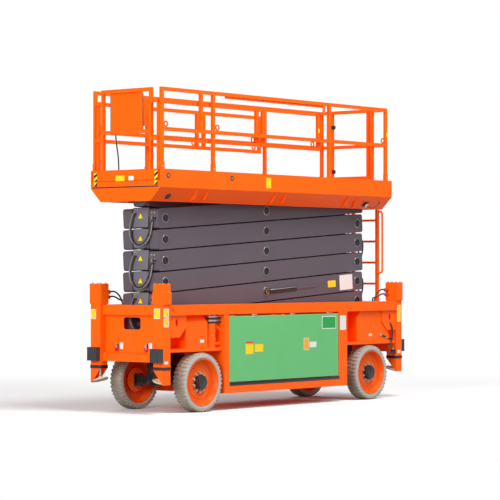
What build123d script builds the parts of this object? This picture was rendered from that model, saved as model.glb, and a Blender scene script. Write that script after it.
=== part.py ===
from build123d import *
import math
import os

# Electric scissor lift with four outriggers, a six level scissor stack and a sliding deck extension.
# Millimetres, +Z up. The front end with the extension points to -X, the origin lies on the floor
# under the middle of the machine. The stack stands lowered, the outriggers are raised.

# Overall sizes
machine_width = 1200.0
wheelbase = 3400.0

# Wheels
tyre_radius = 356.0
tyre_width = 180.0
tyre_height = 69.0
tyre_shoulder = 26.0
rim_wall = 12.0
rim_dish = 62.0
rim_lip = 4.0
rim_inset = 10.0
rim_cone = 26.0
swage_radius = 190.0
swage_width = 24.0
swage_height = 6.0
hub_radius = 84.0
hub_cap_radius = 64.0
hub_cap_length = 26.0
hub_inset = 6.0
hub_seat = 24.0
hub_skirt = 48.0
seat_gap = 0.3

# Outrigger legs at the four corners
leg_overhang = 706.0
cap_depth = 135.0
cap_width = 185.0
cap_rise = 10.0
cap_height = 243.0
neck_height = 85.0
neck_inset = 9.0
sleeve_depth = 125.0
sleeve_width = 158.0
sleeve_wall = 12.0
sleeve_bottom = 560.0
jack_gap = 0.4
band_height = 42.0
band_proud = 4.0
shoe_height = 172.0
shoe_plate = 12.0
jack_rod_radius = 20.0
pad_radius = 92.0
pad_lip = 8.0
pad_lip_height = 22.0
pad_dish = 12.0
pad_cup_radius = 34.0
pad_cup_height = 46.0
pad_tilt = 16.0
pad_lift = 26.0
pad_shift = 30.0
bumper_depth = 65.0
bumper_width = 150.0
bumper_bottom = 613.0
bumper_height = 162.0
bumper_groove = 6.0
bumper_grooves = 4

# Chassis
chassis_top = 1285.0
beam_height = 120.0
beam_width = 90.0
plate = 12.0
arm_side_gap = 49.0
tyre_gap = 48.0
sill_bottom = 206.0
front_bay_gap = 398.0
rear_bay_gap = 532.0
end_face_inset = 50.0
end_recess = 50.0
end_bottom = 609.0
end_flange_height = 85.0
end_flange_slope = 30.0
window_width = 276.0
window_height = 144.0
window_centre_z = 1065.0
window_corner = 32.0
tie_slot_width = 50.0
tie_slot_height = 92.0
tie_slot_y = 237.0
tie_slot_z = 781.0
gusset_inset = 28.0
gusset_plate = 10.0
gusset_length = 300.0
gusset_height = 262.0
gusset_corner = 120.0
gusset_hole_radius = 46.0

# Fenders over the wheels and the equipment that stands on them
fender_gap = 15.0
fender_lip = 38.0
fender_skin = 8.0
fender_inset = 40.0
front_box_place = 308.0
front_box_length = 392.0
rear_box_place = 266.0
rear_box_length = 766.0
gear_inset = 42.0
gear_top_gap = 6.0
gear_slope_height = 78.0
gear_slope_depth = 62.0
canister_radius = 82.0
canister_height = 300.0
canister_band = 30.0
canister_band_proud = 5.0
canister_gap = 36.0

# Battery doors, heavy blocks in the bays
door_front_inset = 92.0
door_rear_inset = 186.0
door_bottom = 337.0
door_depth = 26.0
door_gap = 5.0
door_edge = 6.0
door_top_drop = 12.0
hinge_inset = 8.0
hinge_drop = 12.0
hinge_barrel_radius = 7.0
hinge_pin_radius = 4.0
hinge_length = 70.0
hinge_ear = 10.0
hinge_ear_gap = 1.0
hinge_count = 3
hinge_rear_inset = 196.0
hinge_pitch = 757.0
block_margin = 60.0
block_wall_gap = 40.0
battery_height = 422.0
pump_height = 602.0
pump_length = 840.0

# Axles and steering
axle_half_depth = 50.0
axle_height = 112.0
kingpin_offset = 80.0
kingpin_radius = 20.0
boss_radius = 40.0
knuckle_plate = 20.0
knuckle_gap = 4.0
knuckle_wall = 12.0
spindle_radius = 38.0
spindle_gap = 16.0
pedestal_half_width = 170.0
pedestal_half_depth = 150.0
hub_plate_reach = 30.0

# Scissor stack
levels = 6
front_pin_inset = 374.0
rear_pin_inset = 603.0
first_pin_drop = 235.0
arm_height = 238.0
arm_gap = 16.5
arm_overhang = 120.0
arm_corner = 34.0
outer_arm_inside = 140.0
outer_arm_outside = 285.0
inner_arm_inside = 60.0
inner_arm_outside = 125.0
end_box_length = 260.0
end_plate = 14.0
end_plate_round = 104.0
pin_radius = 35.0
pin_gap = 0.5
pin_ring_radius = 56.0
pin_ring = 6.0
pin_head_radius = 42.0
pin_head = 14.0
pin_clear = 2.0
roller_radius = 48.0
roller_gap = 4.0
track_gap = 3.0
track_flange = 10.0
track_depth = 45.0
track_margin = 150.0
lift_range = 50.5
strut_length = 960.0
strut_height = 30.0
strut_offset = 70.0
strut_thickness = 8.0

# Lift cylinders between inner arms, lower eye and upper eye measured from the rear pins
cylinder_lower_eye = 2700.0
cylinder_eye_step = 1600.0
cylinder_levels = (1, 4)
barrel_radius = 50.0
barrel_length = 1380.0
rod_radius = 30.0
rod_bore_gap = 1.0
rod_length = 1250.0
eye_pin_radius = 25.0
eye_radius = 45.0
eye_half_width = 40.0
eye_gap = 6.0
rod_eye_wall = 5.0

# Platform
deck_front_overhang = 22.0
deck_rear_inset = 192.0
deck_side_inset = 39.0
deck_drop = 61.0
slope_height = 162.0
fascia_height = 216.0
belly_margin = 41.0
floor_depth = 136.0
skin = 8.0
rib_places = (694.0, 890.0, 2197.0, 2404.0, 3720.0, 3924.0)
rib_thickness = 10.0
rib_reach = 70.0
rib_rise = 34.0
rail_height = 1100.0
lower_rail_height = 607.0
tube = 44.0
tube_depth = 36.0
first_post = 53.0
second_post = 983.0
third_post = 1348.0
last_post = 111.0
short_post = 758.0
foot_height = 86.0
foot_proud = 5.0
comb_start = 1209.0
comb_teeth = 10
comb_pitch = 198.0
comb_slot = 14.0
comb_height = 28.0
comb_thickness = 8.0
top_bracket_radius = 56.0

# Gate at the rear end
gate_side_inset = 150.0
gate_free_inset = 265.0
gate_post_gap = 8.0
gate_hinge_radius = 10.0
gate_pin_radius = 5.0
gate_barrel = 50.0
gate_hinge_gap = 13.0
gate_hinge_heights = (242.0, 882.0)
gate_lift = 24.0

# Deck extension
ext_side_gap = 12.0
ext_top_drop = 136.0
ext_lower_height = 497.0
ext_plate = 8.0
ext_floor_gap = 6.0
ext_floor_length = 1728.0
ext_first_post = 58.0
ext_second_post = 1868.0
ext_last_post = 3118.0
ext_short_post = 1996.0
ext_front_inset = 102.0
ext_cheek = 36.0
ext_front_gap = 4.0
ext_mid_lift = 90.0

# Control panel behind the extension's front rail
panel_y = 28.0
panel_width = 518.0
panel_lift = 589.0
panel_height = 470.0
panel_skin = 6.0
panel_corner = 20.0
box_depth = 130.0
box_width = 330.0
box_height = 330.0
box_lift = 70.0
box_slope = 46.0

# Lanyard eyes
eye_hole_radius = 22.0
eye_ring_radius = 38.0
eye_thickness = 10.0
eye_front_step = 73.0
eye_middle_step = 82.0
eye_rear_step = 63.0
ext_eye_step = 68.0
ext_eye_rear_step = 113.0

# Ladder
ladder_half_width = 200.0
stile = 40.0
ladder_bottom = 650.0
ladder_rise = 1235.0
rung_radius = 15.0
rung_pitch = 285.0
top_rung_drop = 145.0
grab_reach = 85.0
grab_bottom_rise = 380.0
grab_top_drop = 25.0
grab_radius = 13.0
grab_bend = 40.0

# Places that follow from the sizes above
half_width = machine_width / 2
axle_x = wheelbase / 2
wheel_y = half_width - tyre_width / 2
rim_radius = tyre_radius - tyre_height
kingpin_y = wheel_y - kingpin_offset
spindle_end = half_width - rim_dish - rim_wall - spindle_gap
leg_outer_x = axle_x + leg_overhang
leg_x = leg_outer_x - cap_depth / 2
leg_y = half_width - cap_width / 2
cap_bottom = chassis_top + cap_rise
cap_top = cap_bottom + cap_height
shoe_top = sleeve_bottom - band_height
shoe_bottom = shoe_top - shoe_height
beam_bottom = chassis_top - beam_height
beam_end_x = leg_x - sleeve_depth / 2
end_half = leg_y - sleeve_width / 2
end_face_x = leg_outer_x - end_face_inset
keel_half_length = end_face_x - end_recess - plate
keel_bottom = 2 * tyre_radius + tyre_gap
well_half = outer_arm_outside + pin_head + arm_side_gap
keel_half_width = well_half + plate
bay_front_x = front_bay_gap - axle_x
bay_rear_x = axle_x - rear_bay_gap
bay_inner = keel_half_width + plate
door_front_x = bay_front_x + door_front_inset
door_rear_x = bay_rear_x - door_rear_inset
hinge_y = half_width - hinge_inset
hinge_z = beam_bottom - hinge_drop
fender_top = 2 * tyre_radius + fender_gap + fender_lip

level_pitch = arm_height + arm_gap
first_pin_z = chassis_top - first_pin_drop
pin_front_x = front_pin_inset - leg_outer_x
pin_rear_x = leg_outer_x - rear_pin_inset
pin_span = pin_rear_x - pin_front_x
rest_angle = math.degrees(math.atan2(level_pitch, pin_span))
arm_length = math.hypot(level_pitch, pin_span)
top_pin_z = first_pin_z + levels * level_pitch
raised_span = arm_length * math.cos(math.radians(rest_angle + lift_range))
track_front_x = pin_front_x + raised_span - track_margin
track_rear_x = pin_rear_x + track_margin

deck_front_x = -leg_outer_x - deck_front_overhang
deck_rear_x = leg_outer_x - deck_rear_inset
deck_half_width = half_width - deck_side_inset
low_half = keel_half_width + belly_margin
deck_bottom = top_pin_z - deck_drop
fascia_bottom = deck_bottom + slope_height
fascia_top = fascia_bottom + fascia_height
floor_top = fascia_top - floor_depth
rail_top = floor_top + rail_height
top_z = rail_top - tube / 2
lower_rail_z = floor_top + lower_rail_height
main_rail_y = deck_half_width - skin - tube_depth / 2
main_post_x = (
    deck_front_x + first_post,
    deck_front_x + second_post,
    deck_rear_x - third_post,
    deck_rear_x - last_post,
)
gate_x = main_post_x[-1]
gate_axis_x = gate_x - tube / 2 - gate_hinge_radius
gate_hinge_y = main_rail_y - gate_side_inset
gate_free_y = gate_free_inset - main_rail_y
gate_hinge_z = [floor_top + height for height in gate_hinge_heights]
ext_rail_y = main_rail_y - tube_depth - ext_side_gap
ext_top_z = rail_top - ext_top_drop - tube / 2
ext_lower_z = floor_top + ext_lower_height
ext_floor_rear_x = deck_front_x + ext_floor_length
ext_post_x = (deck_front_x + ext_first_post, deck_front_x + ext_second_post, deck_front_x + ext_last_post)
front_rail_x = deck_front_x + ext_plate + tube / 2 + ext_front_gap
front_rail_half = ext_rail_y - ext_front_inset
ladder_top = chassis_top + ladder_rise

corner_names = {(-1, -1): "front_near", (-1, 1): "front_far", (1, -1): "rear_near", (1, 1): "rear_far"}

os.makedirs("parts", exist_ok=True)


def save(part, label):
    """Give a finished piece its name and write it as a STEP file."""
    part.label = label
    export_step(part, f"parts/{label}.step")


def between(one, other, mode=Mode.ADD):
    """Add a plate or block given by two opposite corners, in any order, to the open part."""
    centre = [(a + b) / 2 for a, b in zip(one, other)]
    size = [abs(b - a) for a, b in zip(one, other)]
    with Locations(tuple(centre)):
        Box(size[0], size[1], size[2], mode=mode)


def across(y_one, y_other, x, z, radius, mode=Mode.ADD):
    """Add a round bar whose axis runs across the machine."""
    with Locations(Plane(origin=(x, (y_one + y_other) / 2, z), z_dir=(0, 1, 0))):
        Cylinder(radius, abs(y_other - y_one), mode=mode)


def section_plane(x):
    """Plane across the machine at x: its x runs along +Y, its y runs up."""
    return Plane(origin=(x, 0, 0), x_dir=(0, 1, 0), z_dir=(1, 0, 0))


def side_plane(y):
    """Plane along the machine at y: its x runs along +X, its y runs up, extruded towards -Y."""
    return Plane(origin=(0, y, 0), x_dir=(1, 0, 0), z_dir=(0, -1, 0))


def arm_plane(x, z, y, angle):
    """Side plane of an arm: x along the arm, y down from it, extruded towards +Y."""
    turn = math.radians(angle)
    return Plane(origin=(x, y, z), x_dir=(math.cos(turn), 0, math.sin(turn)), z_dir=(0, 1, 0))


def on_arm(x, z, angle, distance):
    """Point on an arm's centre line at a distance from the pin at x, z."""
    turn = math.radians(angle)
    return x + distance * math.cos(turn), z + distance * math.sin(turn)


def rollers(x, z):
    """Pin ends and rollers that run in the tracks on both sides of the stack."""
    reach = well_half - roller_gap
    across(-reach, reach, x, z, pin_radius)
    for side in (-1, 1):
        across(side * (outer_arm_outside + pin_head), side * reach, x, z, roller_radius)


def tracks(z, side):
    """Two flanges on the wall of a channel, above and below the rollers' path."""
    y_wall = side * (well_half + plate / 2)
    y_lip = side * (well_half - track_depth)
    for low in (z - roller_radius - track_flange - track_gap, z + roller_radius + track_gap):
        between((track_front_x, y_wall, low), (track_rear_x, y_lip, low + track_flange))


# Keel channel: the scissor well between two side plates, with roller tracks and pin bosses
with BuildPart() as chassis_frame:
    with BuildSketch(section_plane(-keel_half_length)):
        Polygon(
            (-keel_half_width, chassis_top),
            (-keel_half_width, keel_bottom),
            (keel_half_width, keel_bottom),
            (keel_half_width, chassis_top),
            (well_half, chassis_top),
            (well_half, keel_bottom + plate),
            (-well_half, keel_bottom + plate),
            (-well_half, chassis_top),
        )
    extrude(amount=2 * keel_half_length)
    for side in (-1, 1):
        tracks(first_pin_z, side)
        across(side * keel_half_width, side * (well_half - track_depth), pin_front_x, first_pin_z, 2 * pin_radius)
    across(-keel_half_width, keel_half_width, pin_front_x, first_pin_z, pin_radius + pin_gap, Mode.SUBTRACT)
save(chassis_frame.part, "chassis_frame")

# Top box beams beside the well with their deck strips, leg gussets and door hinge ears
hinge_x = [door_rear_x - hinge_rear_inset - n * hinge_pitch for n in range(hinge_count)]
with BuildPart() as side_beams:
    for side in (-1, 1):
        with BuildSketch(section_plane(-beam_end_x)):
            Polygon(
                (side * half_width, chassis_top),
                (side * half_width, beam_bottom),
                (side * (half_width - beam_width), beam_bottom),
                (side * (half_width - beam_width), chassis_top - plate),
                (side * keel_half_width, chassis_top - plate),
                (side * keel_half_width, chassis_top),
            )
        extrude(amount=2 * beam_end_x)
        # Web plates between the legs and the equipment, each with a half round hole
        for end in (-1, 1):
            y_web = side * (half_width - gusset_inset)
            toe = end * (beam_end_x - gusset_length)
            with BuildSketch(side_plane(y_web)):
                Polygon(
                    (end * beam_end_x, beam_bottom),
                    (toe, beam_bottom),
                    (toe, beam_bottom - gusset_height + gusset_corner),
                    (toe + end * gusset_corner, beam_bottom - gusset_height),
                    (end * beam_end_x, beam_bottom - gusset_height),
                )
                hole_x = end * (beam_end_x - gusset_length / 2)
                hole_z = beam_bottom - gusset_height / 3
                with Locations((hole_x, hole_z)):
                    Circle(gusset_hole_radius, mode=Mode.SUBTRACT)
                with Locations((hole_x - end * gusset_hole_radius, hole_z)):
                    Rectangle(2 * gusset_hole_radius, 2 * gusset_hole_radius)
            extrude(amount=side * gusset_plate)
        for x in hinge_x:
            for step in (-1, 1):
                near = x + step * (hinge_length / 2 + hinge_ear_gap)
                between(
                    (near, side * (hinge_y - hinge_barrel_radius), hinge_z - hinge_barrel_radius),
                    (near + step * hinge_ear, side * (hinge_y + hinge_barrel_radius), beam_bottom),
                )
            with Locations(Plane(origin=(x, side * hinge_y, hinge_z), z_dir=(1, 0, 0))):
                Cylinder(hinge_pin_radius + seat_gap, hinge_length + 4 * hinge_ear, mode=Mode.SUBTRACT)
save(side_beams.part, "side_beams")

# End frames: top beam, recessed panel with window and tie down slots, lower beam with a sloped ledge
with BuildPart() as end_frames:
    for end in (-1, 1):
        face = end * end_face_x
        back = end * keel_half_length
        panel = back + end * plate
        with BuildSketch(side_plane(end_half)):
            Polygon(
                (face, chassis_top),
                (face, beam_bottom),
                (panel, beam_bottom),
                (panel, end_bottom + end_flange_height + end_flange_slope),
                (face, end_bottom + end_flange_height),
                (face, end_bottom),
                (back, end_bottom),
                (back, chassis_top),
            )
        extrude(amount=2 * end_half)
        with BuildSketch(section_plane(back)):
            with Locations((0, window_centre_z)):
                RectangleRounded(window_width, window_height, window_corner)
            with Locations((-tie_slot_y, tie_slot_z), (tie_slot_y, tie_slot_z)):
                SlotOverall(tie_slot_height, tie_slot_width, rotation=90)
        extrude(amount=2 * plate, both=True, mode=Mode.SUBTRACT)
save(end_frames.part, "end_frames")

# Belly between the equipment bays, closed below the keel
with BuildPart() as belly_box:
    between((bay_front_x, -bay_inner, sill_bottom), (bay_rear_x, bay_inner, keel_bottom))
    between(
        (bay_front_x + plate, -keel_half_width, sill_bottom + plate),
        (bay_rear_x - plate, keel_half_width, keel_bottom - plate),
        Mode.SUBTRACT,
    )
save(belly_box.part, "belly_box")

# Equipment bays on both sides: floor, end walls and the frame around the door
with BuildPart() as bay_frames:
    for side in (-1, 1):
        y_skin = side * half_width
        y_wall = side * (half_width - plate)
        y_belly = side * bay_inner
        between((bay_front_x, y_belly, sill_bottom), (bay_rear_x, y_skin, beam_bottom))
        between(
            (bay_front_x + plate, y_belly - side * plate, sill_bottom + plate),
            (bay_rear_x - plate, y_wall, beam_bottom + plate),
            Mode.SUBTRACT,
        )
        between(
            (door_front_x - door_gap, y_wall - side * plate, door_bottom - door_gap),
            (door_rear_x + door_gap, y_skin + side * plate, beam_bottom + plate),
            Mode.SUBTRACT,
        )
save(bay_frames.part, "bay_frames")

# Heavy blocks inside the bays, each one plain block on the bay's floor
block_in = bay_inner + block_wall_gap
block_out = half_width - block_margin
block_floor = sill_bottom + plate
with BuildPart() as battery_pack:
    between(
        (door_front_x + block_margin, -block_out, block_floor),
        (door_rear_x - block_margin, -block_in, block_floor + battery_height),
    )
save(battery_pack.part, "battery_pack")

with BuildPart() as hydraulic_unit:
    between(
        (door_front_x + block_margin, block_in, block_floor),
        (door_front_x + block_margin + pump_length, block_out, block_floor + pump_height),
    )
save(hydraulic_unit.part, "hydraulic_unit")

# Fenders over the wheels, each with its equipment box, and a canister beside the front boxes
fender_out = half_width - fender_inset
gear_out = half_width - gear_inset
gear_top = beam_bottom - gear_top_gap
gear_shoulder = gear_top - gear_slope_height
with BuildPart() as arch_gear:
    for end in (-1, 1):
        bay_wall = bay_front_x if end < 0 else bay_rear_x
        for side in (-1, 1):
            y_keel = side * keel_half_width
            y_lip = side * fender_out
            between((end * beam_end_x, y_keel, fender_top - fender_skin), (bay_wall, y_lip, fender_top))
            between(
                (end * beam_end_x, y_lip - side * fender_skin, fender_top - fender_lip),
                (bay_wall, y_lip, fender_top),
            )
    front_low = front_box_place - beam_end_x
    front_high = front_low + front_box_length
    rear_low = bay_rear_x + rear_box_place
    rear_high = rear_low + rear_box_length
    for side in (-1, 1):
        # Front box with a hipped outer slope
        base = Plane.XY.offset(gear_shoulder)
        y_mid = side * (keel_half_width + gear_out) / 2
        depth = gear_out - keel_half_width
        between(
            (front_low, side * keel_half_width, fender_top - fender_skin),
            (front_high, side * gear_out, gear_shoulder),
        )
        with BuildSketch(base):
            with Locations(((front_low + front_high) / 2, y_mid)):
                Rectangle(front_box_length, depth)
        with BuildSketch(base.offset(gear_slope_height)):
            with Locations(((front_low + front_high) / 2, y_mid - side * gear_slope_depth / 2)):
                Rectangle(front_box_length - gear_slope_depth, depth - gear_slope_depth)
        loft()
        # Canister with two clamping bands
        canister_x = front_high + canister_gap + canister_radius
        canister_y = side * (gear_out - canister_radius)
        with Locations((canister_x, canister_y, fender_top - fender_skin)):
            Cylinder(canister_radius, canister_height, align=(Align.CENTER, Align.CENTER, Align.MIN))
        for share in (1 / 3, 2 / 3):
            with Locations((canister_x, canister_y, fender_top + share * canister_height)):
                Cylinder(canister_radius + canister_band_proud, canister_band)
        # Rear box, sloped at both upper corners
        with BuildSketch(side_plane(side * gear_out)):
            Polygon(
                (rear_low, fender_top - fender_skin),
                (rear_low, gear_shoulder),
                (rear_low + gear_slope_height, gear_top),
                (rear_high - rear_box_length / 3, gear_top),
                (rear_high, fender_top - fender_skin),
            )
        extrude(amount=side * depth)
save(arch_gear.part, "arch_gear")

# Outrigger sleeves: a wide cap over a square tube that the jack slides in
with BuildPart() as outrigger_sleeves:
    for end, side in corner_names:
        centre = (end * leg_x, side * leg_y)
        neck = neck_inset if (end, side) == (-1, -1) else 0
        with BuildSketch(Plane.XY.offset(sleeve_bottom)):
            with Locations(centre):
                Rectangle(sleeve_depth, sleeve_width)
        extrude(amount=cap_bottom - sleeve_bottom)
        with BuildSketch(Plane.XY.offset(cap_bottom)):
            with Locations(centre):
                Rectangle(cap_depth, cap_width)
        extrude(amount=cap_height - neck_height - 2 * neck)
        if neck:
            with BuildSketch(Plane.XY.offset(cap_top - neck_height - 2 * neck)):
                with Locations(centre):
                    Rectangle(cap_depth, cap_width)
            with BuildSketch(Plane.XY.offset(cap_top - neck_height)):
                with Locations(centre):
                    Rectangle(cap_depth - 2 * neck, cap_width - 2 * neck)
            loft()
        with BuildSketch(Plane.XY.offset(cap_top - neck_height)):
            with Locations(centre):
                Rectangle(cap_depth - 2 * neck, cap_width - 2 * neck)
        extrude(amount=neck_height)
        with BuildSketch(Plane.XY.offset(sleeve_bottom)):
            with Locations(centre):
                Rectangle(sleeve_depth - 2 * sleeve_wall, sleeve_width - 2 * sleeve_wall)
        extrude(amount=cap_top - sleeve_wall - sleeve_bottom, mode=Mode.SUBTRACT)
save(outrigger_sleeves.part, "outrigger_sleeves")

# Jacks: inner tube, wear band, open shoe and a dished pad that leans on the end of its rod
jack_depth = sleeve_depth - 2 * sleeve_wall - 2 * jack_gap
jack_width = sleeve_width - 2 * sleeve_wall - 2 * jack_gap
for (end, side), corner in corner_names.items():
    with BuildPart() as jack:
        centre = (end * leg_x, side * leg_y)
        with BuildSketch(Plane.XY.offset(shoe_top)):
            with Locations(centre):
                Rectangle(jack_depth, jack_width)
        extrude(amount=cap_bottom - shoe_top)
        with BuildSketch(Plane.XY.offset(shoe_top)):
            with Locations(centre):
                Rectangle(sleeve_depth + 2 * band_proud, sleeve_width + 2 * band_proud)
        extrude(amount=band_height - jack_gap)
        y_out = side * (leg_y + sleeve_width / 2)
        y_wall = y_out - side * shoe_plate
        y_in = side * (leg_y - sleeve_width / 2)
        between(
            (centre[0] - sleeve_depth / 2, y_out, shoe_bottom),
            (centre[0] + sleeve_depth / 2, y_wall, shoe_top),
        )
        for step in (-1, 1):
            with BuildSketch(section_plane(centre[0] + step * sleeve_depth / 2)):
                Polygon((y_out, shoe_top), (y_in, shoe_top), (y_wall, shoe_bottom), (y_out, shoe_bottom))
            extrude(amount=-step * shoe_plate)
        lean = math.radians(pad_tilt)
        pad_axis = Vector(0, side * math.sin(lean), math.cos(lean))
        pad_centre = Vector(centre[0], centre[1] - side * pad_shift, shoe_bottom + pad_lift)
        cup_top = pad_centre + pad_axis * pad_cup_height
        with BuildSketch(Plane.XY.offset(cup_top.Z - pad_dish)):
            with Locations((cup_top.X, cup_top.Y)):
                Circle(jack_rod_radius)
        extrude(amount=shoe_top - cup_top.Z + pad_dish)
        with BuildSketch(Plane(origin=pad_centre, x_dir=(1, 0, 0), z_dir=(0, -pad_axis.Z, pad_axis.Y))):
            Polygon(
                (0, 0),
                (pad_radius - pad_lip, 0),
                (pad_radius, pad_lip),
                (pad_radius, pad_lip_height),
                (pad_radius - pad_lip, pad_lip_height),
                (pad_radius - 2 * pad_lip, pad_dish),
                (pad_cup_radius, pad_lip_height),
                (jack_rod_radius + seat_gap, pad_cup_height),
                (0, pad_cup_height),
            )
        revolve(axis=Axis(pad_centre, pad_axis))
    save(jack.part, f"jack_{corner}")

# Ribbed rubber bumpers on the ends of the legs
with BuildPart() as bumpers:
    for end, side in corner_names:
        near = end * beam_end_x + end * sleeve_depth
        far = end * (leg_outer_x + bumper_depth)
        with BuildSketch(Plane.XY.offset(bumper_bottom)):
            with Locations(((near + far) / 2, side * leg_y)):
                Rectangle(abs(far - near), bumper_width)
            with Locations((far, side * leg_y)):
                with GridLocations(0, bumper_width / bumper_grooves, 1, bumper_grooves):
                    Circle(bumper_groove, mode=Mode.SUBTRACT)
        extrude(amount=bumper_height)
save(bumpers.part, "bumpers")

# Battery doors, hinged along the top edge
for side, name in ((-1, "door_near"), (1, "door_far")):
    with BuildPart() as door:
        y_in = side * (half_width - door_depth)
        y_out = side * half_width
        door_top = hinge_z - door_top_drop
        between((door_front_x, y_in, door_bottom), (door_rear_x, y_out, door_top))
        chamfer(faces().sort_by(Axis.Y)[0 if side < 0 else -1].edges(), door_edge)
        for x in hinge_x:
            with Locations(Plane(origin=(x, side * hinge_y, hinge_z), z_dir=(1, 0, 0))):
                Cylinder(hinge_barrel_radius, hinge_length)
                Cylinder(hinge_pin_radius, hinge_length + 2 * hinge_ear)
            between(
                (x - hinge_length / 2, side * hinge_y, door_top - door_edge - hinge_barrel_radius),
                (x + hinge_length / 2, y_out, hinge_z),
            )
    save(door.part, name)

# Axles
axle_low = tyre_radius - axle_height / 2
axle_high = tyre_radius + axle_height / 2
with BuildPart() as front_axle:
    beam_end = kingpin_y - boss_radius / 2
    between((-axle_x - axle_half_depth, -beam_end, axle_low), (-axle_x + axle_half_depth, beam_end, axle_high))
    between(
        (-axle_x - pedestal_half_depth, -pedestal_half_width, tyre_radius),
        (-axle_x + pedestal_half_depth, pedestal_half_width, keel_bottom),
    )
    with Locations((-axle_x, -kingpin_y, tyre_radius), (-axle_x, kingpin_y, tyre_radius)):
        Cylinder(boss_radius, axle_height)
        Cylinder(kingpin_radius + pin_gap, axle_height, mode=Mode.SUBTRACT)
save(front_axle.part, "front_axle")

with BuildPart() as rear_axle:
    plate_y = kingpin_y + hub_plate_reach
    between((axle_x - axle_half_depth, -plate_y, axle_low), (axle_x + axle_half_depth, plate_y, axle_high))
    between(
        (axle_x - pedestal_half_depth, -pedestal_half_width, tyre_radius),
        (axle_x + pedestal_half_depth, pedestal_half_width, keel_bottom),
    )
    across(-spindle_end, spindle_end, axle_x, tyre_radius, spindle_radius)
save(rear_axle.part, "rear_axle")

# Steering knuckles
fork = axle_height / 2 + knuckle_gap
reach = fork + knuckle_plate
for side, name in ((-1, "knuckle_near"), (1, "knuckle_far")):
    with BuildPart() as knuckle:
        wall_in = side * (kingpin_y + boss_radius + knuckle_gap)
        wall_out = wall_in + side * knuckle_wall
        for low in (tyre_radius + fork, tyre_radius - reach):
            with BuildSketch(Plane.XY.offset(low)):
                with Locations((-axle_x, side * kingpin_y)):
                    Circle(boss_radius)
                with Locations((-axle_x, (side * kingpin_y + wall_in) / 2)):
                    Rectangle(2 * boss_radius, abs(wall_in) - kingpin_y)
            extrude(amount=knuckle_plate)
        between(
            (-axle_x - boss_radius, wall_in, tyre_radius - reach),
            (-axle_x + boss_radius, wall_out, tyre_radius + reach),
        )
        with Locations((-axle_x, side * kingpin_y, tyre_radius)):
            Cylinder(kingpin_radius, 2 * reach)
        across(wall_in, side * spindle_end, -axle_x, tyre_radius, spindle_radius)
    save(knuckle.part, name)

# Wheels: a solid tyre on a dished rim with its hub
for (end, side), corner in corner_names.items():
    half_tyre = tyre_width / 2
    axle_line = Axis((end * axle_x, 0, tyre_radius), (0, 1, 0))
    # Profile plane: x is the radius, y runs outwards along the axle
    profile_plane = Plane(
        origin=(end * axle_x, side * wheel_y, tyre_radius), x_dir=(1, 0, 0), z_dir=(0, 0, side)
    )
    with BuildPart() as tyre:
        with BuildSketch(profile_plane):
            with Locations(((rim_radius + tyre_radius) / 2, 0)):
                Rectangle(tyre_height, tyre_width)
            fillet(vertices().group_by(Axis((0, 0, 0), (1, 0, 0)))[-1], tyre_shoulder)
        revolve(axis=axle_line)
    save(tyre.part, f"tyre_{corner}")

    with BuildPart() as rim:
        barrel_out = rim_radius - seat_gap
        barrel_in = barrel_out - rim_wall
        cone_end = barrel_in - rim_cone
        face = half_tyre - rim_dish
        bore = spindle_radius + seat_gap
        bore_end = face - hub_seat
        skirt = face - hub_skirt
        with BuildSketch(profile_plane):
            Polygon(
                (barrel_out, rim_inset - half_tyre),
                (barrel_out, half_tyre - rim_lip),
                (barrel_in, half_tyre - rim_lip),
                (cone_end, face),
                (swage_radius + swage_width / 2, face),
                (swage_radius + swage_width / 4, face + swage_height),
                (swage_radius - swage_width / 4, face + swage_height),
                (swage_radius - swage_width / 2, face),
                (hub_radius, face),
                (hub_radius, half_tyre - hub_inset - hub_cap_length),
                (hub_cap_radius, half_tyre - hub_inset - hub_cap_length),
                (hub_cap_radius, half_tyre - hub_inset),
                (0, half_tyre - hub_inset),
                (0, bore_end),
                (bore, bore_end),
                (bore, skirt),
                (hub_radius - rim_wall, skirt),
                (hub_radius - rim_wall, face - rim_wall),
                (cone_end, face - rim_wall),
                (barrel_in, face - rim_wall - rim_cone),
                (barrel_in, rim_inset - half_tyre),
            )
        revolve(axis=axle_line)
    save(rim.part, f"rim_{corner}")

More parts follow.
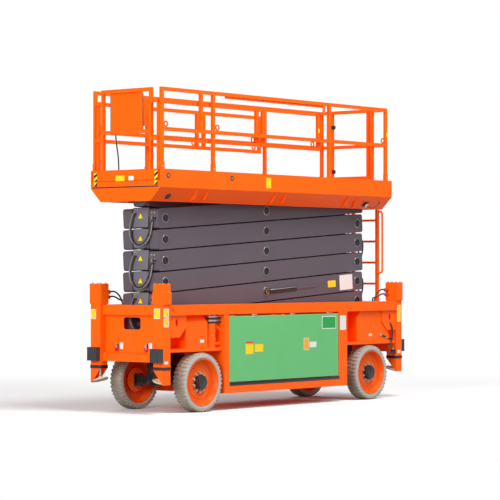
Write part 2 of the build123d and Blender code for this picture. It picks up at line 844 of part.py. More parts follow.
# Scissor arms
centre_x = pin_front_x + pin_span / 2
for level in range(1, levels + 1):
    z_low = first_pin_z + (level - 1) * level_pitch
    z_high = z_low + level_pitch
    centre_z = z_low + level_pitch / 2

    # Outer arm, low end at the front, its pins run through the inner arms
    with BuildPart() as outer_arm:
        for side in (-1, 1):
            y_low = min(side * outer_arm_inside, side * outer_arm_outside)
            with BuildSketch(arm_plane(pin_front_x, z_low, y_low, rest_angle)):
                with Locations((arm_length / 2, 0)):
                    RectangleRounded(arm_length + 2 * arm_overhang, arm_height, arm_corner)
            extrude(amount=outer_arm_outside - outer_arm_inside)
            base = side * outer_arm_outside
            for x, z in ((pin_front_x, z_low), (pin_rear_x, z_high), (centre_x, centre_z)):
                across(side * (inner_arm_inside + pin_clear), base, x, z, pin_radius)
                across(base, base + side * pin_ring, x, z, pin_ring_radius)
                across(base, base + side * pin_head, x, z, pin_head_radius)
        for x, z in ((pin_front_x, z_low), (pin_rear_x, z_high)):
            across(-outer_arm_inside, outer_arm_inside, x, z, pin_radius)
        if level == 1:
            boss = well_half + plate / 2
            across(-boss, boss, pin_front_x, z_low, pin_radius)
        if level == 2:
            # Stowed safety strut that hangs on the centre pin, along the near face
            y_face = -outer_arm_outside - strut_thickness
            with BuildSketch(arm_plane(centre_x, centre_z, y_face, rest_angle)):
                with Locations((strut_offset + strut_length / 2, 0)):
                    SlotOverall(strut_length, strut_height)
            extrude(amount=strut_thickness)
        if level == levels:
            rollers(pin_rear_x, z_high)
    save(outer_arm.part, f"outer_arm_{level}")

    # Inner arm, low end at the rear: twin tubes joined by end boxes, with a cover plate at the front
    with BuildPart() as inner_arm:
        for side in (-1, 1):
            y_low = min(side * inner_arm_inside, side * inner_arm_outside)
            with BuildSketch(arm_plane(pin_front_x, z_high, y_low, -rest_angle)):
                with Locations((arm_length / 2 + end_plate / 2, 0)):
                    RectangleRounded(arm_length + 2 * arm_overhang - end_plate, arm_height, arm_corner)
            extrude(amount=inner_arm_outside - inner_arm_inside)
        for start in (end_plate - arm_overhang, arm_length + arm_overhang - end_box_length):
            with BuildSketch(arm_plane(pin_front_x, z_high, -inner_arm_outside, -rest_angle)):
                with Locations((start + end_box_length / 2, 0)):
                    RectangleRounded(end_box_length, arm_height, arm_corner)
            extrude(amount=2 * inner_arm_outside)
        turn = math.radians(-rest_angle)
        along = Vector(math.cos(turn), 0, math.sin(turn))
        nose = Vector(pin_front_x, 0, z_high) - along * arm_overhang
        with BuildSketch(Plane(origin=nose, x_dir=(0, 1, 0), z_dir=along)):
            Rectangle(2 * inner_arm_outside, arm_height)
            if level % 2 == 0:
                fillet(vertices().group_by(Axis.Z)[0], end_plate_round)
        extrude(amount=end_plate)
        bores = [(pin_front_x, z_high), (centre_x, centre_z)]
        if level > 1:
            bores.append((pin_rear_x, z_low))
        for x, z in bores:
            across(-inner_arm_outside, inner_arm_outside, x, z, pin_radius + pin_gap, Mode.SUBTRACT)
        if level == 1:
            rollers(pin_rear_x, z_low)
        if level in cylinder_levels:
            x, z = on_arm(pin_rear_x, z_low, -rest_angle, -cylinder_lower_eye)
            across(-inner_arm_inside, inner_arm_inside, x, z, eye_pin_radius)
        if level - 1 in cylinder_levels:
            x, z = on_arm(pin_rear_x, z_low, -rest_angle, cylinder_eye_step - cylinder_lower_eye)
            for side in (-1, 1):
                across(side * (eye_half_width + eye_gap), side * inner_arm_inside, x, z, eye_radius)
    save(inner_arm.part, f"inner_arm_{level}")

# Lift cylinders: the barrel turns on the lower inner arm, the rod reaches for the arm above
for name, level in (("lower", cylinder_levels[0]), ("upper", cylinder_levels[1])):
    z_low = first_pin_z + (level - 1) * level_pitch
    x0, z0 = on_arm(pin_rear_x, z_low, -rest_angle, -cylinder_lower_eye)
    x1, z1 = on_arm(pin_rear_x, z_low + level_pitch, -rest_angle, cylinder_eye_step - cylinder_lower_eye)
    along = Vector(x1 - x0, 0, z1 - z0).normalized()
    mouth = Vector(x0, 0, z0) + along * barrel_length
    with BuildPart() as barrel:
        with BuildSketch(Plane(origin=(x0, 0, z0), z_dir=along)):
            Circle(barrel_radius)
        extrude(amount=barrel_length)
        across(-eye_half_width, eye_half_width, x0, z0, eye_radius)
        across(-barrel_radius, barrel_radius, x0, z0, eye_pin_radius + pin_gap, Mode.SUBTRACT)
        with BuildSketch(Plane(origin=mouth, z_dir=along * -1)):
            Circle(rod_radius + rod_bore_gap)
        extrude(amount=rod_length, mode=Mode.SUBTRACT)
    save(barrel.part, f"barrel_{name}")
    with BuildPart() as rod:
        with BuildSketch(Plane(origin=(x1, 0, z1), z_dir=along * -1)):
            Circle(rod_radius)
        extrude(amount=rod_length)
        across(-eye_half_width, eye_half_width, x1, z1, eye_radius - rod_eye_wall)
        pin_reach = eye_half_width + eye_gap - pin_clear
        across(-pin_reach, pin_reach, x1, z1, eye_pin_radius - rod_eye_wall)
    save(rod.part, f"rod_{name}")

# Platform frame: folded shell with its floor, slope ribs, roller tracks and pin brackets
with BuildPart() as platform_frame:
    with BuildSketch(section_plane(deck_front_x)):
        Polygon(
            (-deck_half_width, fascia_top),
            (-deck_half_width, fascia_bottom),
            (-low_half, deck_bottom),
            (low_half, deck_bottom),
            (deck_half_width, fascia_bottom),
            (deck_half_width, fascia_top),
        )
    extrude(amount=deck_rear_x - deck_front_x)
    # Open top above the floor
    between(
        (deck_front_x - skin, skin - deck_half_width, floor_top),
        (deck_rear_x - skin, deck_half_width - skin, fascia_top + skin),
        Mode.SUBTRACT,
    )
    # Open underside between the end plates
    with BuildSketch(section_plane(deck_front_x + skin)):
        Polygon(
            (skin - deck_half_width, floor_top - skin),
            (skin - deck_half_width, fascia_bottom + skin / 2),
            (skin / 2 - low_half, deck_bottom),
            (skin / 2 - low_half, deck_bottom - skin),
            (low_half - skin / 2, deck_bottom - skin),
            (low_half - skin / 2, deck_bottom),
            (deck_half_width - skin, fascia_bottom + skin / 2),
            (deck_half_width - skin, floor_top - skin),
        )
    extrude(amount=deck_rear_x - deck_front_x - 2 * skin, mode=Mode.SUBTRACT)
    for side in (-1, 1):
        between(
            (deck_front_x + skin, side * well_half, deck_bottom),
            (deck_rear_x - skin, side * keel_half_width, floor_top - skin),
        )
        tracks(top_pin_z, side)
        across(side * keel_half_width, side * (well_half - track_depth), pin_front_x, top_pin_z, top_bracket_radius)
        # Ribs that stiffen the slope
        for place in rib_places:
            with BuildSketch(section_plane(deck_front_x + place - rib_thickness / 2)):
                Polygon(
                    (side * (deck_half_width - skin / 2), fascia_bottom),
                    (side * (deck_half_width - rib_reach), deck_bottom + rib_rise),
                    (side * low_half, deck_bottom),
                    (side * (low_half - skin / 2), deck_bottom),
                )
            extrude(amount=rib_thickness)
    across(-keel_half_width, keel_half_width, pin_front_x, top_pin_z, pin_radius)
save(platform_frame.part, "platform_frame")


def rail(start, end):
    """Square rail tube between two points along one axis, centred on the line."""
    half = (tube / 2, tube_depth / 2, tube / 2)
    low = [min(a, b) - h for a, b, h in zip(start, end, half)]
    high = [max(a, b) + h for a, b, h in zip(start, end, half)]
    between(low, high)


with BuildPart() as guardrails:
    for side in (-1, 1):
        y = side * main_rail_y
        rail((main_post_x[0], y, top_z), (main_post_x[-1], y, top_z))
        rail((main_post_x[0], y, lower_rail_z), (main_post_x[-1], y, lower_rail_z))
        for x in main_post_x:
            rail((x, y, floor_top + tube / 2), (x, y, top_z))
            # Foot socket, flush with the post on the side towards the extension
            between(
                (x - tube / 2 - foot_proud, y - side * tube_depth / 2, fascia_top + foot_height),
                (x + tube / 2 + foot_proud, y + side * (tube_depth / 2 + foot_proud), fascia_top),
            )
        short_x = deck_front_x + short_post
        rail((short_x, y, lower_rail_z), (short_x, y, top_z))
        # Comb under the top rail that holds the extension in steps
        comb_x = deck_front_x + comb_start
        comb_end = comb_x + comb_teeth * comb_pitch
        comb_low = rail_top - tube - comb_height
        between(
            (comb_x, y - side * comb_thickness / 2, comb_low),
            (comb_end, y + side * comb_thickness / 2, rail_top - tube),
        )
        for n in range(1, comb_teeth):
            slot_x = comb_x + n * comb_pitch
            between(
                (slot_x - comb_slot / 2, y - side * comb_thickness, comb_low - comb_slot),
                (slot_x + comb_slot / 2, y + side * comb_thickness, comb_low + comb_slot),
                Mode.SUBTRACT,
            )
    for y_post, y_side in (
        (gate_free_y - tube_depth - gate_post_gap, -main_rail_y),
        (gate_hinge_y + gate_hinge_gap + tube_depth / 2, main_rail_y),
    ):
        for z in (top_z, lower_rail_z):
            rail((gate_x, y_post, z), (gate_x, y_side, z))
        rail((gate_x, y_post, floor_top + tube / 2), (gate_x, y_post, top_z))
    # Hinge ears on the far gate post, one above and one below each barrel
    for z in gate_hinge_z:
        for step in (-1, 1):
            ear_z = z + step * (gate_barrel / 2 + seat_gap + hinge_ear / 2)
            between(
                (gate_axis_x, gate_hinge_y, ear_z - hinge_ear / 2),
                (gate_x, gate_hinge_y + 2 * gate_hinge_gap, ear_z + hinge_ear / 2),
            )
            with Locations((gate_axis_x, gate_hinge_y, ear_z)):
                Cylinder(gate_hinge_radius, hinge_ear)
        with Locations((gate_axis_x, gate_hinge_y, z)):
            Cylinder(gate_pin_radius, gate_barrel + 3 * hinge_ear)
save(guardrails.part, "guardrails")

with BuildPart() as gate:
    free_line = gate_free_y + tube_depth / 2
    hinge_line = gate_hinge_y - gate_hinge_gap - tube_depth / 2
    gate_bottom = fascia_top + gate_lift + tube / 2
    for z in (top_z, lower_rail_z, gate_bottom):
        rail((gate_x, free_line, z), (gate_x, hinge_line, z))
    for y in (free_line, hinge_line):
        rail((gate_x, y, gate_bottom), (gate_x, y, top_z))
    for z in gate_hinge_z:
        between(
            (gate_axis_x, gate_hinge_y - 2 * gate_hinge_gap, z - gate_barrel / 2),
            (gate_x, gate_hinge_y, z + gate_barrel / 2),
        )
        with Locations((gate_axis_x, gate_hinge_y, z)):
            Cylinder(gate_hinge_radius, gate_barrel)
            Cylinder(gate_pin_radius + seat_gap, gate_barrel, mode=Mode.SUBTRACT)
save(gate.part, "gate")

# Deck extension
ext_floor_low = floor_top + ext_floor_gap
ext_floor_top = ext_floor_low + ext_plate
with BuildPart() as extension_deck:
    floor_half = ext_rail_y + tube_depth / 2
    fascia_half = deck_half_width - ext_cheek
    between((deck_front_x, -floor_half, ext_floor_low), (ext_floor_rear_x, floor_half, ext_floor_top))
    between((deck_front_x, -fascia_half, ext_floor_low), (deck_front_x + ext_plate, fascia_half, fascia_top))
    for side in (-1, 1):
        between(
            (deck_front_x, side * (ext_rail_y - tube_depth), floor_top + seat_gap),
            (ext_floor_rear_x, side * floor_half, ext_floor_low),
        )
save(extension_deck.part, "extension_deck")

with BuildPart() as extension_rails:
    for side in (-1, 1):
        y = side * ext_rail_y
        y_front = side * front_rail_half
        rail((ext_post_x[0], y, ext_top_z), (ext_post_x[-1], y, ext_top_z))
        rail((ext_post_x[0], y, ext_lower_z), (ext_post_x[-1], y, ext_lower_z))
        for x in ext_post_x:
            foot = ext_floor_top + tube / 2 if x < ext_floor_rear_x else ext_lower_z
            rail((x, y, foot), (x, y, ext_top_z))
        short_x = deck_front_x + ext_short_post
        rail((short_x, y, ext_lower_z), (short_x, y, ext_top_z))
        rail((front_rail_x, y_front, ext_floor_top + tube / 2), (front_rail_x, y_front, top_z))
        for z in (ext_top_z, ext_lower_z):
            rail((front_rail_x, y_front, z), (front_rail_x, y, z))
    for z in (top_z, ext_lower_z + ext_mid_lift):
        rail((front_rail_x, -front_rail_half, z), (front_rail_x, front_rail_half, z))
save(extension_rails.part, "extension_rails")

# Control panel: a plate behind the front rail with the control box on its back
with BuildPart() as control_box:
    back_x = front_rail_x + tube / 2
    panel_bottom = floor_top + panel_lift
    with BuildSketch(section_plane(back_x)):
        with Locations((panel_y, panel_bottom + panel_height / 2)):
            RectangleRounded(panel_width, panel_height, panel_corner)
    extrude(amount=panel_skin)
    box_x = back_x + panel_skin
    box_low = panel_bottom + box_lift
    y_box = panel_y - panel_width / 2
    with BuildSketch(side_plane(y_box + box_width)):
        Polygon(
            (box_x, box_low),
            (box_x + box_depth, box_low),
            (box_x + box_depth, box_low + box_height - box_slope),
            (box_x + box_depth - box_slope, box_low + box_height),
            (box_x, box_low + box_height),
        )
    extrude(amount=box_width)
save(control_box.part, "control_box")


def eye_ring(x, y, rail_z):
    """Flat ring that a fall arrest lanyard hooks into, standing on a rail."""
    z = rail_z + tube / 2 + eye_ring_radius
    across(y - eye_thickness / 2, y + eye_thickness / 2, x, z, eye_ring_radius)
    across(y - eye_thickness / 2, y + eye_thickness / 2, x, z, eye_hole_radius, Mode.SUBTRACT)


with BuildPart() as lanyard_eyes:
    for side in (-1, 1):
        for x in (main_post_x[0] + eye_front_step, main_post_x[1] + eye_middle_step, gate_x - eye_rear_step):
            eye_ring(x, side * main_rail_y, lower_rail_z)
save(lanyard_eyes.part, "lanyard_eyes")

with BuildPart() as extension_eyes:
    for side in (-1, 1):
        for x in (ext_post_x[1] - ext_eye_step, ext_post_x[2] - ext_eye_rear_step):
            eye_ring(x, side * ext_rail_y, ext_lower_z)
save(extension_eyes.part, "extension_eyes")

# Ladder on the rear end frame, with D shaped grab rails
with BuildPart() as ladder:
    x_mid = end_face_x + stile / 2
    for side in (-1, 1):
        y = side * ladder_half_width
        between(
            (end_face_x, y - stile / 2, ladder_bottom),
            (end_face_x + stile, y + stile / 2, ladder_top),
        )
        y_grab = side * (ladder_half_width + grab_reach)
        grab_low = chassis_top + grab_bottom_rise
        grab_high = ladder_top - grab_top_drop
        with BuildLine() as grab:
            FilletPolyline(
                (x_mid, y, grab_low),
                (x_mid, y_grab, grab_low),
                (x_mid, y_grab, grab_high),
                (x_mid, y, grab_high),
                radius=grab_bend,
            )
        with BuildSketch(Plane(origin=(x_mid, y, grab_low), z_dir=(0, side, 0))):
            Circle(grab_radius)
        sweep(path=grab.line)
    rung_z = ladder_top - top_rung_drop
    while rung_z > ladder_bottom:
        across(-ladder_half_width, ladder_half_width, x_mid, rung_z, rung_radius)
        rung_z -= rung_pitch
save(ladder.part, "ladder")
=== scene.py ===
import bmesh
import bpy
import math
from mathutils import Matrix, Vector


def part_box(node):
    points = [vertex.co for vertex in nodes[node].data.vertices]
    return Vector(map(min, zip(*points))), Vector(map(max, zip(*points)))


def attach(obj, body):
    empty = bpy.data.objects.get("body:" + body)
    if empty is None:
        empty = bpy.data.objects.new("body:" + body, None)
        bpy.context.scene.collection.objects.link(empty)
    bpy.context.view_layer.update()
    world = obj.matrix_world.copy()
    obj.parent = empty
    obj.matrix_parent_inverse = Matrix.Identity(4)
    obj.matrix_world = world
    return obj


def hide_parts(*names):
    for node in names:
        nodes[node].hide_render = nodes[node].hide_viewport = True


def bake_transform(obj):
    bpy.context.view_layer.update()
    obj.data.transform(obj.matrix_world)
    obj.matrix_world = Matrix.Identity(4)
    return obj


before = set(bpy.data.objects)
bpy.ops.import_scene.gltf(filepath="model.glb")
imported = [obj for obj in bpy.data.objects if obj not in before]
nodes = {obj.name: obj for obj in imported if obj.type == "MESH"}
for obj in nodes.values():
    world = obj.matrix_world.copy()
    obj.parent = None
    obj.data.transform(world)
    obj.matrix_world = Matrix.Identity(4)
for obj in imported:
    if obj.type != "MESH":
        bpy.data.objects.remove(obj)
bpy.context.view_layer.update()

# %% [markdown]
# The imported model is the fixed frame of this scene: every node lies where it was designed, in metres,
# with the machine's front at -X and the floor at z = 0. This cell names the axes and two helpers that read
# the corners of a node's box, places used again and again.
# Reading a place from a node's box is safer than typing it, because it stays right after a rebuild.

X, Y, Z = Vector((1, 0, 0)), Vector((0, 1, 0)), Vector((0, 0, 1))


def low(name):
    """Lowest corner of a node's box."""
    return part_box(name)[0]


def high(name):
    """Highest corner of a node's box."""
    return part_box(name)[1]


# %% [markdown]
# The camera repeats the photograph's view: it stands far off on a long lens, a little above the height
# of the outriggers, and looks along the machine from its front left corner. The place and the lens come
# from the perspective of the real object's edges. A camera looks along its own -Z, so the line of sight
# is turned into a rotation with to_track_quat.

# %% Camera
camera_data = bpy.data.cameras.new("camera")
camera_data.lens = 156.43
camera_data.sensor_width = 36.0
camera_data.clip_end = 200.0
camera = bpy.data.objects.new("camera", camera_data)
bpy.context.scene.collection.objects.link(camera)
camera.location = (-21.4286, -17.5502, 1.689)
heading, pitch = 0.8825, 0.0097
sight = Vector((math.sin(heading) * math.cos(pitch), math.cos(heading) * math.cos(pitch), math.sin(pitch)))
camera.rotation_euler = sight.to_track_quat("-Z", "Y").to_euler()
bpy.context.scene.camera = camera
print("camera looks along", tuple(round(v, 3) for v in sight))

# %% [markdown]
# Every finish below is a small node tree. Colours are written as sRGB hex values, as a paint maker lists
# them, and one function turns them into the linear numbers that the renderer needs. A second function
# adds one node with its settings and its links, so a tree reads as a short list from pattern to shader.
# The others are short names for what nearly every finish needs: a mix, a noise, a sum, a range, a bump.

# %% Colours and nodes
def paint_colour(code):
    """Linear RGBA of an sRGB hex value."""
    parts = [int(code[i:i + 2], 16) / 255 for i in (1, 3, 5)]
    return tuple(v / 12.92 if v <= 0.04045 else ((v + 0.055) / 1.055) ** 2.4 for v in parts) + (1.0,)


def add_node(tree, kind, inputs=None, **settings):
    """Add a node, set its properties, and set or link its inputs."""
    node = tree.nodes.new("ShaderNode" + kind)
    for name, value in settings.items():
        setattr(node, name, value)
    for name, value in (inputs or {}).items():
        if isinstance(value, bpy.types.NodeSocket):
            tree.links.new(value, node.inputs[name])
        else:
            node.inputs[name].default_value = value
    return node


def mix(tree, factor, first, second):
    """Output between two colours, each an sRGB code or an output."""
    first, second = (paint_colour(c) if isinstance(c, str) else c for c in (first, second))
    return add_node(tree, "MixRGB", {"Fac": factor, "Color1": first, "Color2": second}).outputs["Color"]


def noise(tree, place, size_mm, **inputs):
    """Output of a noise whose pattern has a real size."""
    return add_node(tree, "TexNoise", {"Vector": place, "Scale": 1000 / size_mm, **inputs}).outputs["Fac"]


def calculate(tree, operation, one, other=0.5):
    """Output of a Math node."""
    return add_node(tree, "Math", {0: one, 1: other}, operation=operation).outputs[0]


def remap(tree, value, start, end, first=0.0, last=1.0, **settings):
    """Output of a value taken from start..end to first..last."""
    limits = {"From Min": start, "From Max": end, "To Min": first, "To Max": last}
    return add_node(tree, "MapRange", {"Value": value, **limits}, **settings).outputs["Result"]


def dress(tree, shader, colour, relief, strength, depth, roughness=None):
    """Link colour, relief and roughness to a shader."""
    bump = add_node(tree, "Bump", {"Height": relief, "Strength": strength, "Distance": depth})
    tree.links.new(colour, shader["Base Color"])
    tree.links.new(bump.outputs["Normal"], shader["Normal"])
    if roughness is not None:
        tree.links.new(roughness, shader["Roughness"])


def new_material(name, **shader):
    """A material with one Principled shader, its constants set on the shader's own sockets."""
    material = bpy.data.materials.new(name)
    material.use_nodes = True
    tree = material.node_tree
    tree.nodes.clear()
    principled = add_node(tree, "BsdfPrincipled", {k.replace("_", " "): v for k, v in shader.items()})
    add_node(tree, "OutputMaterial", {"Surface": principled.outputs["BSDF"]})
    place = add_node(tree, "TexCoord").outputs["Object"]
    return material, tree, principled.inputs, place


print("white is", paint_colour("#FFFFFF"))

# %% [markdown]
# The frame, the platform and the rails are powder coated steel: polyester powder melted to a smooth,
# glossy film with a fine orange peel. The film is even in colour, so the finish comes from three faint
# patterns in real sizes: a slow change of shade over half a metre, a peel of a few millimetres drawn a
# little coarser so that it shows, and a film of dust that thins out with the height above the floor.
# The same tree serves the green doors and the grey arms with other colours. The orange also has a weak
# deep red emission. Real paint has none: it only brings shaded faces nearer to the photograph's red.

# %% Powder coats
def powder_coat(name, colour, second, roughness, peel_mm=14.0, dust=0.10, shade_mm=600.0, glow=0.0):
    """Even paint film with a faint peel and some dust near the floor."""
    material, tree, shader, place = new_material(
        name, Roughness=roughness, Coat_Weight=0.05, Coat_Roughness=0.15, Specular_IOR_Level=0.18, IOR=1.5,
        Emission_Color=paint_colour("#FF2C00"), Emission_Strength=glow,
    )
    shade = mix(tree, noise(tree, place, shade_mm, Detail=2.0), colour, second)
    grime = noise(tree, place, 90.0, Detail=6.0, Roughness=0.65)
    height = add_node(tree, "SeparateXYZ", {"Vector": place}).outputs["Z"]
    thin = remap(tree, height, 0.15, 1.1, 1.0, 0.12)
    film = calculate(tree, "MULTIPLY", thin, remap(tree, grime, 0.45, 0.75))
    film = calculate(tree, "MULTIPLY", film, dust)
    gloss = remap(tree, grime, 0.0, 1.0, roughness - 0.05, roughness + 0.10)
    peel = noise(tree, place, peel_mm, Detail=1.0)
    dress(tree, shader, mix(tree, film, shade, "#B9A08A"), peel, 0.05, 0.002, gloss)
    return material


orange_coat = powder_coat("orange powder coat", "#FF6A00", "#FA6000", 0.42, glow=0.11)
grey_coat = powder_coat("grey chassis enamel", "#5A555D", "#665C65", 0.42, dust=0.05, shade_mm=900.0)
# The cover plates get a lighter copy of the arms' grey: painted light, as their faces turn to the front lamp.
lit_cover_coat = powder_coat("grey cover enamel lightened as painted light", "#6F6C73", "#77737A", 0.44, dust=0.05, shade_mm=400.0)
green_coat = powder_coat("green powder coat", "#66BE74", "#72C680", 0.36, dust=0.06)
black_coat = powder_coat("black chassis enamel", "#1C1B1D", "#242225", 0.45, dust=0.30)
print("powder coats:", orange_coat.name, grey_coat.name, green_coat.name, black_coat.name)

# %% [markdown]
# Metals and plastics that stay small: zinc plated screws and hinges, ground chrome on the piston rods,
# black nitrile hose, moulded bumpers of rubber, and printed vinyl. Each starts from its usual values: a
# metal is fully metallic and keeps the default index of refraction, rubber and vinyl are not metallic
# and differ in roughness. A light noise breaks the roughness up, as fingers, oil and age do.

# %% Small finishes
def plain_finish(name, colour, second, roughness, metallic=0.0, grain_mm=6.0, bump=0.1, spread=0.12):
    """Finish of a small part: one noise varies its colour, roughness and relief."""
    material, tree, shader, place = new_material(name, Metallic=metallic)
    grain = noise(tree, place, grain_mm, Detail=4.0)
    rough = remap(tree, grain, 0.0, 1.0, roughness - spread / 2, roughness + spread / 2)
    dress(tree, shader, mix(tree, grain, colour, second), grain, bump, 0.001, rough)
    return material


zinc = plain_finish("zinc plated steel", "#C9C7C2", "#AEABA6", 0.34, metallic=1.0)
chrome = plain_finish("hard chrome", "#D8D9DB", "#CFD0D2", 0.12, metallic=1.0, bump=0.02, spread=0.04)
hose_rubber = plain_finish("nitrile hose", "#1B1B1D", "#2A2A2C", 0.42)
light_hose = plain_finish("grey braided hose", "#8F8C86", "#6C6964", 0.38, grain_mm=9.0)
moulded_rubber = plain_finish("moulded rubber", "#2B2B30", "#37373B", 0.62, bump=0.3)
black_plastic = plain_finish("black nylon", "#161617", "#222224", 0.5)
white_vinyl = plain_finish("white vinyl", "#F2F1EE", "#E6E4DF", 0.4, bump=0.02)
yellow_vinyl = plain_finish("yellow vinyl", "#FFE21A", "#F7D40E", 0.4, bump=0.02)
amber_vinyl = plain_finish("amber vinyl", "#FFB22E", "#F5A423", 0.4, bump=0.02)
green_vinyl = plain_finish("green vinyl", "#19A64A", "#159C44", 0.4, bump=0.02)
red_plastic = plain_finish("red nylon", "#E0261B", "#C41C14", 0.38)
pad_casting = plain_finish("cream painted casting", "#D9CFB6", "#BDB092", 0.55, grain_mm=12.0, bump=0.3)
dark_casting = plain_finish("blackened steel", "#0F0F10", "#1A1A1B", 0.42, grain_mm=10.0)
bronze = plain_finish("bronze bush", "#B08A57", "#8E6D43", 0.4, metallic=1.0)
print("small finishes ready")

# %% [markdown]
# The tyres are solid non marking rubber of a pale grey brown. The tread is given a darker brown than the
# side walls, and the floors of the grooves lie part way between the two. Distance from the axle tells
# tread from side wall, so the tree measures it from the Object coordinates with the wheelbase folded over.

# %% Tyre rubber
wheel_x, wheel_z = 1.7, 0.356


def axle_distance(tree, place):
    """Distance from the nearest axle line, from Object coordinates, for all four wheels at once."""
    parts = add_node(tree, "SeparateXYZ", {"Vector": place}).outputs
    across = calculate(tree, "SUBTRACT", calculate(tree, "ABSOLUTE", parts["X"]), wheel_x)
    up = calculate(tree, "SUBTRACT", parts["Z"], wheel_z)
    flat = add_node(tree, "CombineXYZ", {"X": across, "Z": up})
    return add_node(tree, "VectorMath", {0: flat.outputs[0]}, operation="LENGTH").outputs["Value"]


tyre_rubber, tree, shader, place = new_material(
    "non marking tyre rubber", Roughness=0.82, Specular_IOR_Level=0.3
)
tread = remap(tree, axle_distance(tree, place), 0.330, 0.352)
scuff = noise(tree, place, 24.0, Detail=6.0, Roughness=0.7)
side = mix(tree, scuff, "#CBC6BF", "#A9A39B")
tread_colour = mix(tree, scuff, "#B9AF9F", "#8F8576")
dress(tree, shader, mix(tree, tread, side, tread_colour), noise(tree, place, 5.0, Detail=3.0), 0.35, 0.002)

# The rims are orange with a black hub: the same distance picks the hub out
rim_coat = powder_coat("orange rim coat", "#FF6400", "#F85A00", 0.42, dust=0.15)
tree = rim_coat.node_tree
shader = next(n for n in tree.nodes if n.type == "BSDF_PRINCIPLED").inputs
place = next(n for n in tree.nodes if n.type == "TEX_COORD").outputs["Object"]
hub = calculate(tree, "LESS_THAN", axle_distance(tree, place), 0.0855)
below = shader["Base Color"].links[0].from_socket
tree.links.new(mix(tree, hub, below, "#1A1919"), shader["Base Color"])
print("tyre and rim finishes ready")

# %% [markdown]
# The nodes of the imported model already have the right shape, so they only need their finish. A dictionary
# from the start of a node's name to a material keeps this to one loop, and the longest start wins.

# %% Finish of the CAD nodes
finish_of = {
    "outer_arm": grey_coat, "inner_arm": grey_coat, "barrel": grey_coat, "rod": chrome,
    "door": green_coat, "bumpers": moulded_rubber, "front_axle": black_coat, "rear_axle": black_coat,
    "knuckle": black_coat, "battery_pack": black_plastic, "hydraulic_unit": black_plastic,
    "rim": rim_coat, "tyre": tyre_rubber,
}
for name, node in nodes.items():
    node.data.materials.clear()
    start = max((k for k in finish_of if name.startswith(k)), key=len, default=None)
    node.data.materials.append(finish_of.get(start, orange_coat))
print("finished nodes:", len(nodes))

# %% [markdown]
# Every new piece is modelled in a bmesh, a mesh that is edited with operators. These helpers hold what
# all pieces share: one turns a bmesh into an object with smooth faces and sharp edges, names it and rides
# it on its body. The others add a block with eased edges, a round bar, several bars on one axis
# or a turned profile to a bmesh at a place, and the last gives places on a circle.

# %% Piece helpers
def finish_piece(name, bm, materials, body, sharp=35.0):
    bmesh.ops.remove_doubles(bm, verts=bm.verts, dist=1e-6)
    bmesh.ops.recalc_face_normals(bm, faces=bm.faces)
    mesh = bpy.data.meshes.new(name)
    bm.to_mesh(mesh)
    bm.free()
    for material in materials:
        mesh.materials.append(material)
    mesh.shade_smooth()
    mesh.set_sharp_from_angle(angle=math.radians(sharp))
    piece = bpy.data.objects.new(name, mesh)
    bpy.context.scene.collection.objects.link(piece)
    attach(piece, body)
    print(name, "faces", len(mesh.polygons))
    return piece


def frame_at(centre, right, up):
    """Matrix that turns local x, y, z into right, up and outward at a centre."""
    right, up = Vector(right).normalized(), Vector(up).normalized()
    turn = Matrix((right, up, right.cross(up))).transposed().to_4x4()
    return Matrix.Translation(Vector(centre)) @ turn


def ease(bm, edges, size, segments=2):
    """Round edges off, as a folded or cast edge is."""
    bmesh.ops.bevel(
        bm, geom=edges, offset=size, affect="EDGES", segments=segments, profile=0.5, material=-1,
        offset_type="OFFSET", clamp_overlap=True,
    )


def add_block(bm, centre, size, easing=0.0, right=X, up=Y, index=0):
    """Block of size (right, up, outward) with its edges eased."""
    place = frame_at(centre, right, up) @ Matrix.Diagonal((*size, 1.0))
    made = bmesh.ops.create_cube(bm, size=1.0, matrix=place)["verts"]
    faces = {f for v in made for f in v.link_faces}
    for f in faces:
        f.material_index = index
    if easing:
        ease(bm, list({e for v in made for e in v.link_edges}), easing)


def add_bar(bm, start, end, radius, segments=24, easing=0.0, index=0, end_radius=None):
    """Round bar or cone between two points, its ends closed."""
    start, end = Vector(start), Vector(end)
    along = end - start
    place = Matrix.Translation((start + end) / 2) @ along.to_track_quat("Z", "Y").to_matrix().to_4x4()
    made = bmesh.ops.create_cone(
        bm, cap_ends=True, segments=segments, radius1=radius,
        radius2=radius if end_radius is None else end_radius, depth=along.length, matrix=place,
    )["verts"]
    faces = {f for v in made for f in v.link_faces}
    for f in faces:
        f.material_index = index
    if easing:
        rims = {e for f in faces if len(f.verts) > 4 for e in f.edges}
        ease(bm, list(rims), easing)


def add_studs(bm, base, along, *studs):
    """Coaxial bars along a direction: (start, end, radius, segments, easing, index, end radius) each."""
    for start, end, *shape in studs:
        add_bar(bm, base + along * start, base + along * end, *shape)


def spin_profile(bm, centre, axis, profile, steps):
    """Turned part from (radius, height) pairs about an axis through its centre."""
    ring = [bm.verts.new(centre + X * r + axis * h) for r, h in profile]
    edges = [bm.edges.new(pair) for pair in zip(ring, ring[1:])]
    bmesh.ops.spin(
        bm, geom=ring + edges, cent=centre, axis=axis, angle=2 * math.pi, steps=steps, use_merge=True
    )


def around(centre, radius, count, shift=0.0):
    """Points spaced evenly on an upright circle about a line along Y."""
    angles = [2 * math.pi * (n + shift) / count for n in range(count)]
    return [centre + Vector((math.cos(a), 0, math.sin(a))) * radius for a in angles]


side_of = {"near": -1, "far": 1}
end_of = {"front": -1, "rear": 1}
corners = {f"{e}_{n}": (end, s) for e, end in end_of.items() for n, s in side_of.items()}
print("helpers ready for the corners", list(corners))

# %% [markdown]
# A solid tyre for such a machine has short traction grooves that run in from both shoulders and stand
# staggered, with a closed rib along the middle. The ring is spun from its profile, with the tread a
# groove's depth low. The faces of the lugs are then picked by their place along the ring, and one
# inset lifts that whole region to the full radius, so the grooves keep sloped walls as in a mould.

# %% Tyres
tread_steps, groove_pitch, groove_depth = 126, 3, 0.011


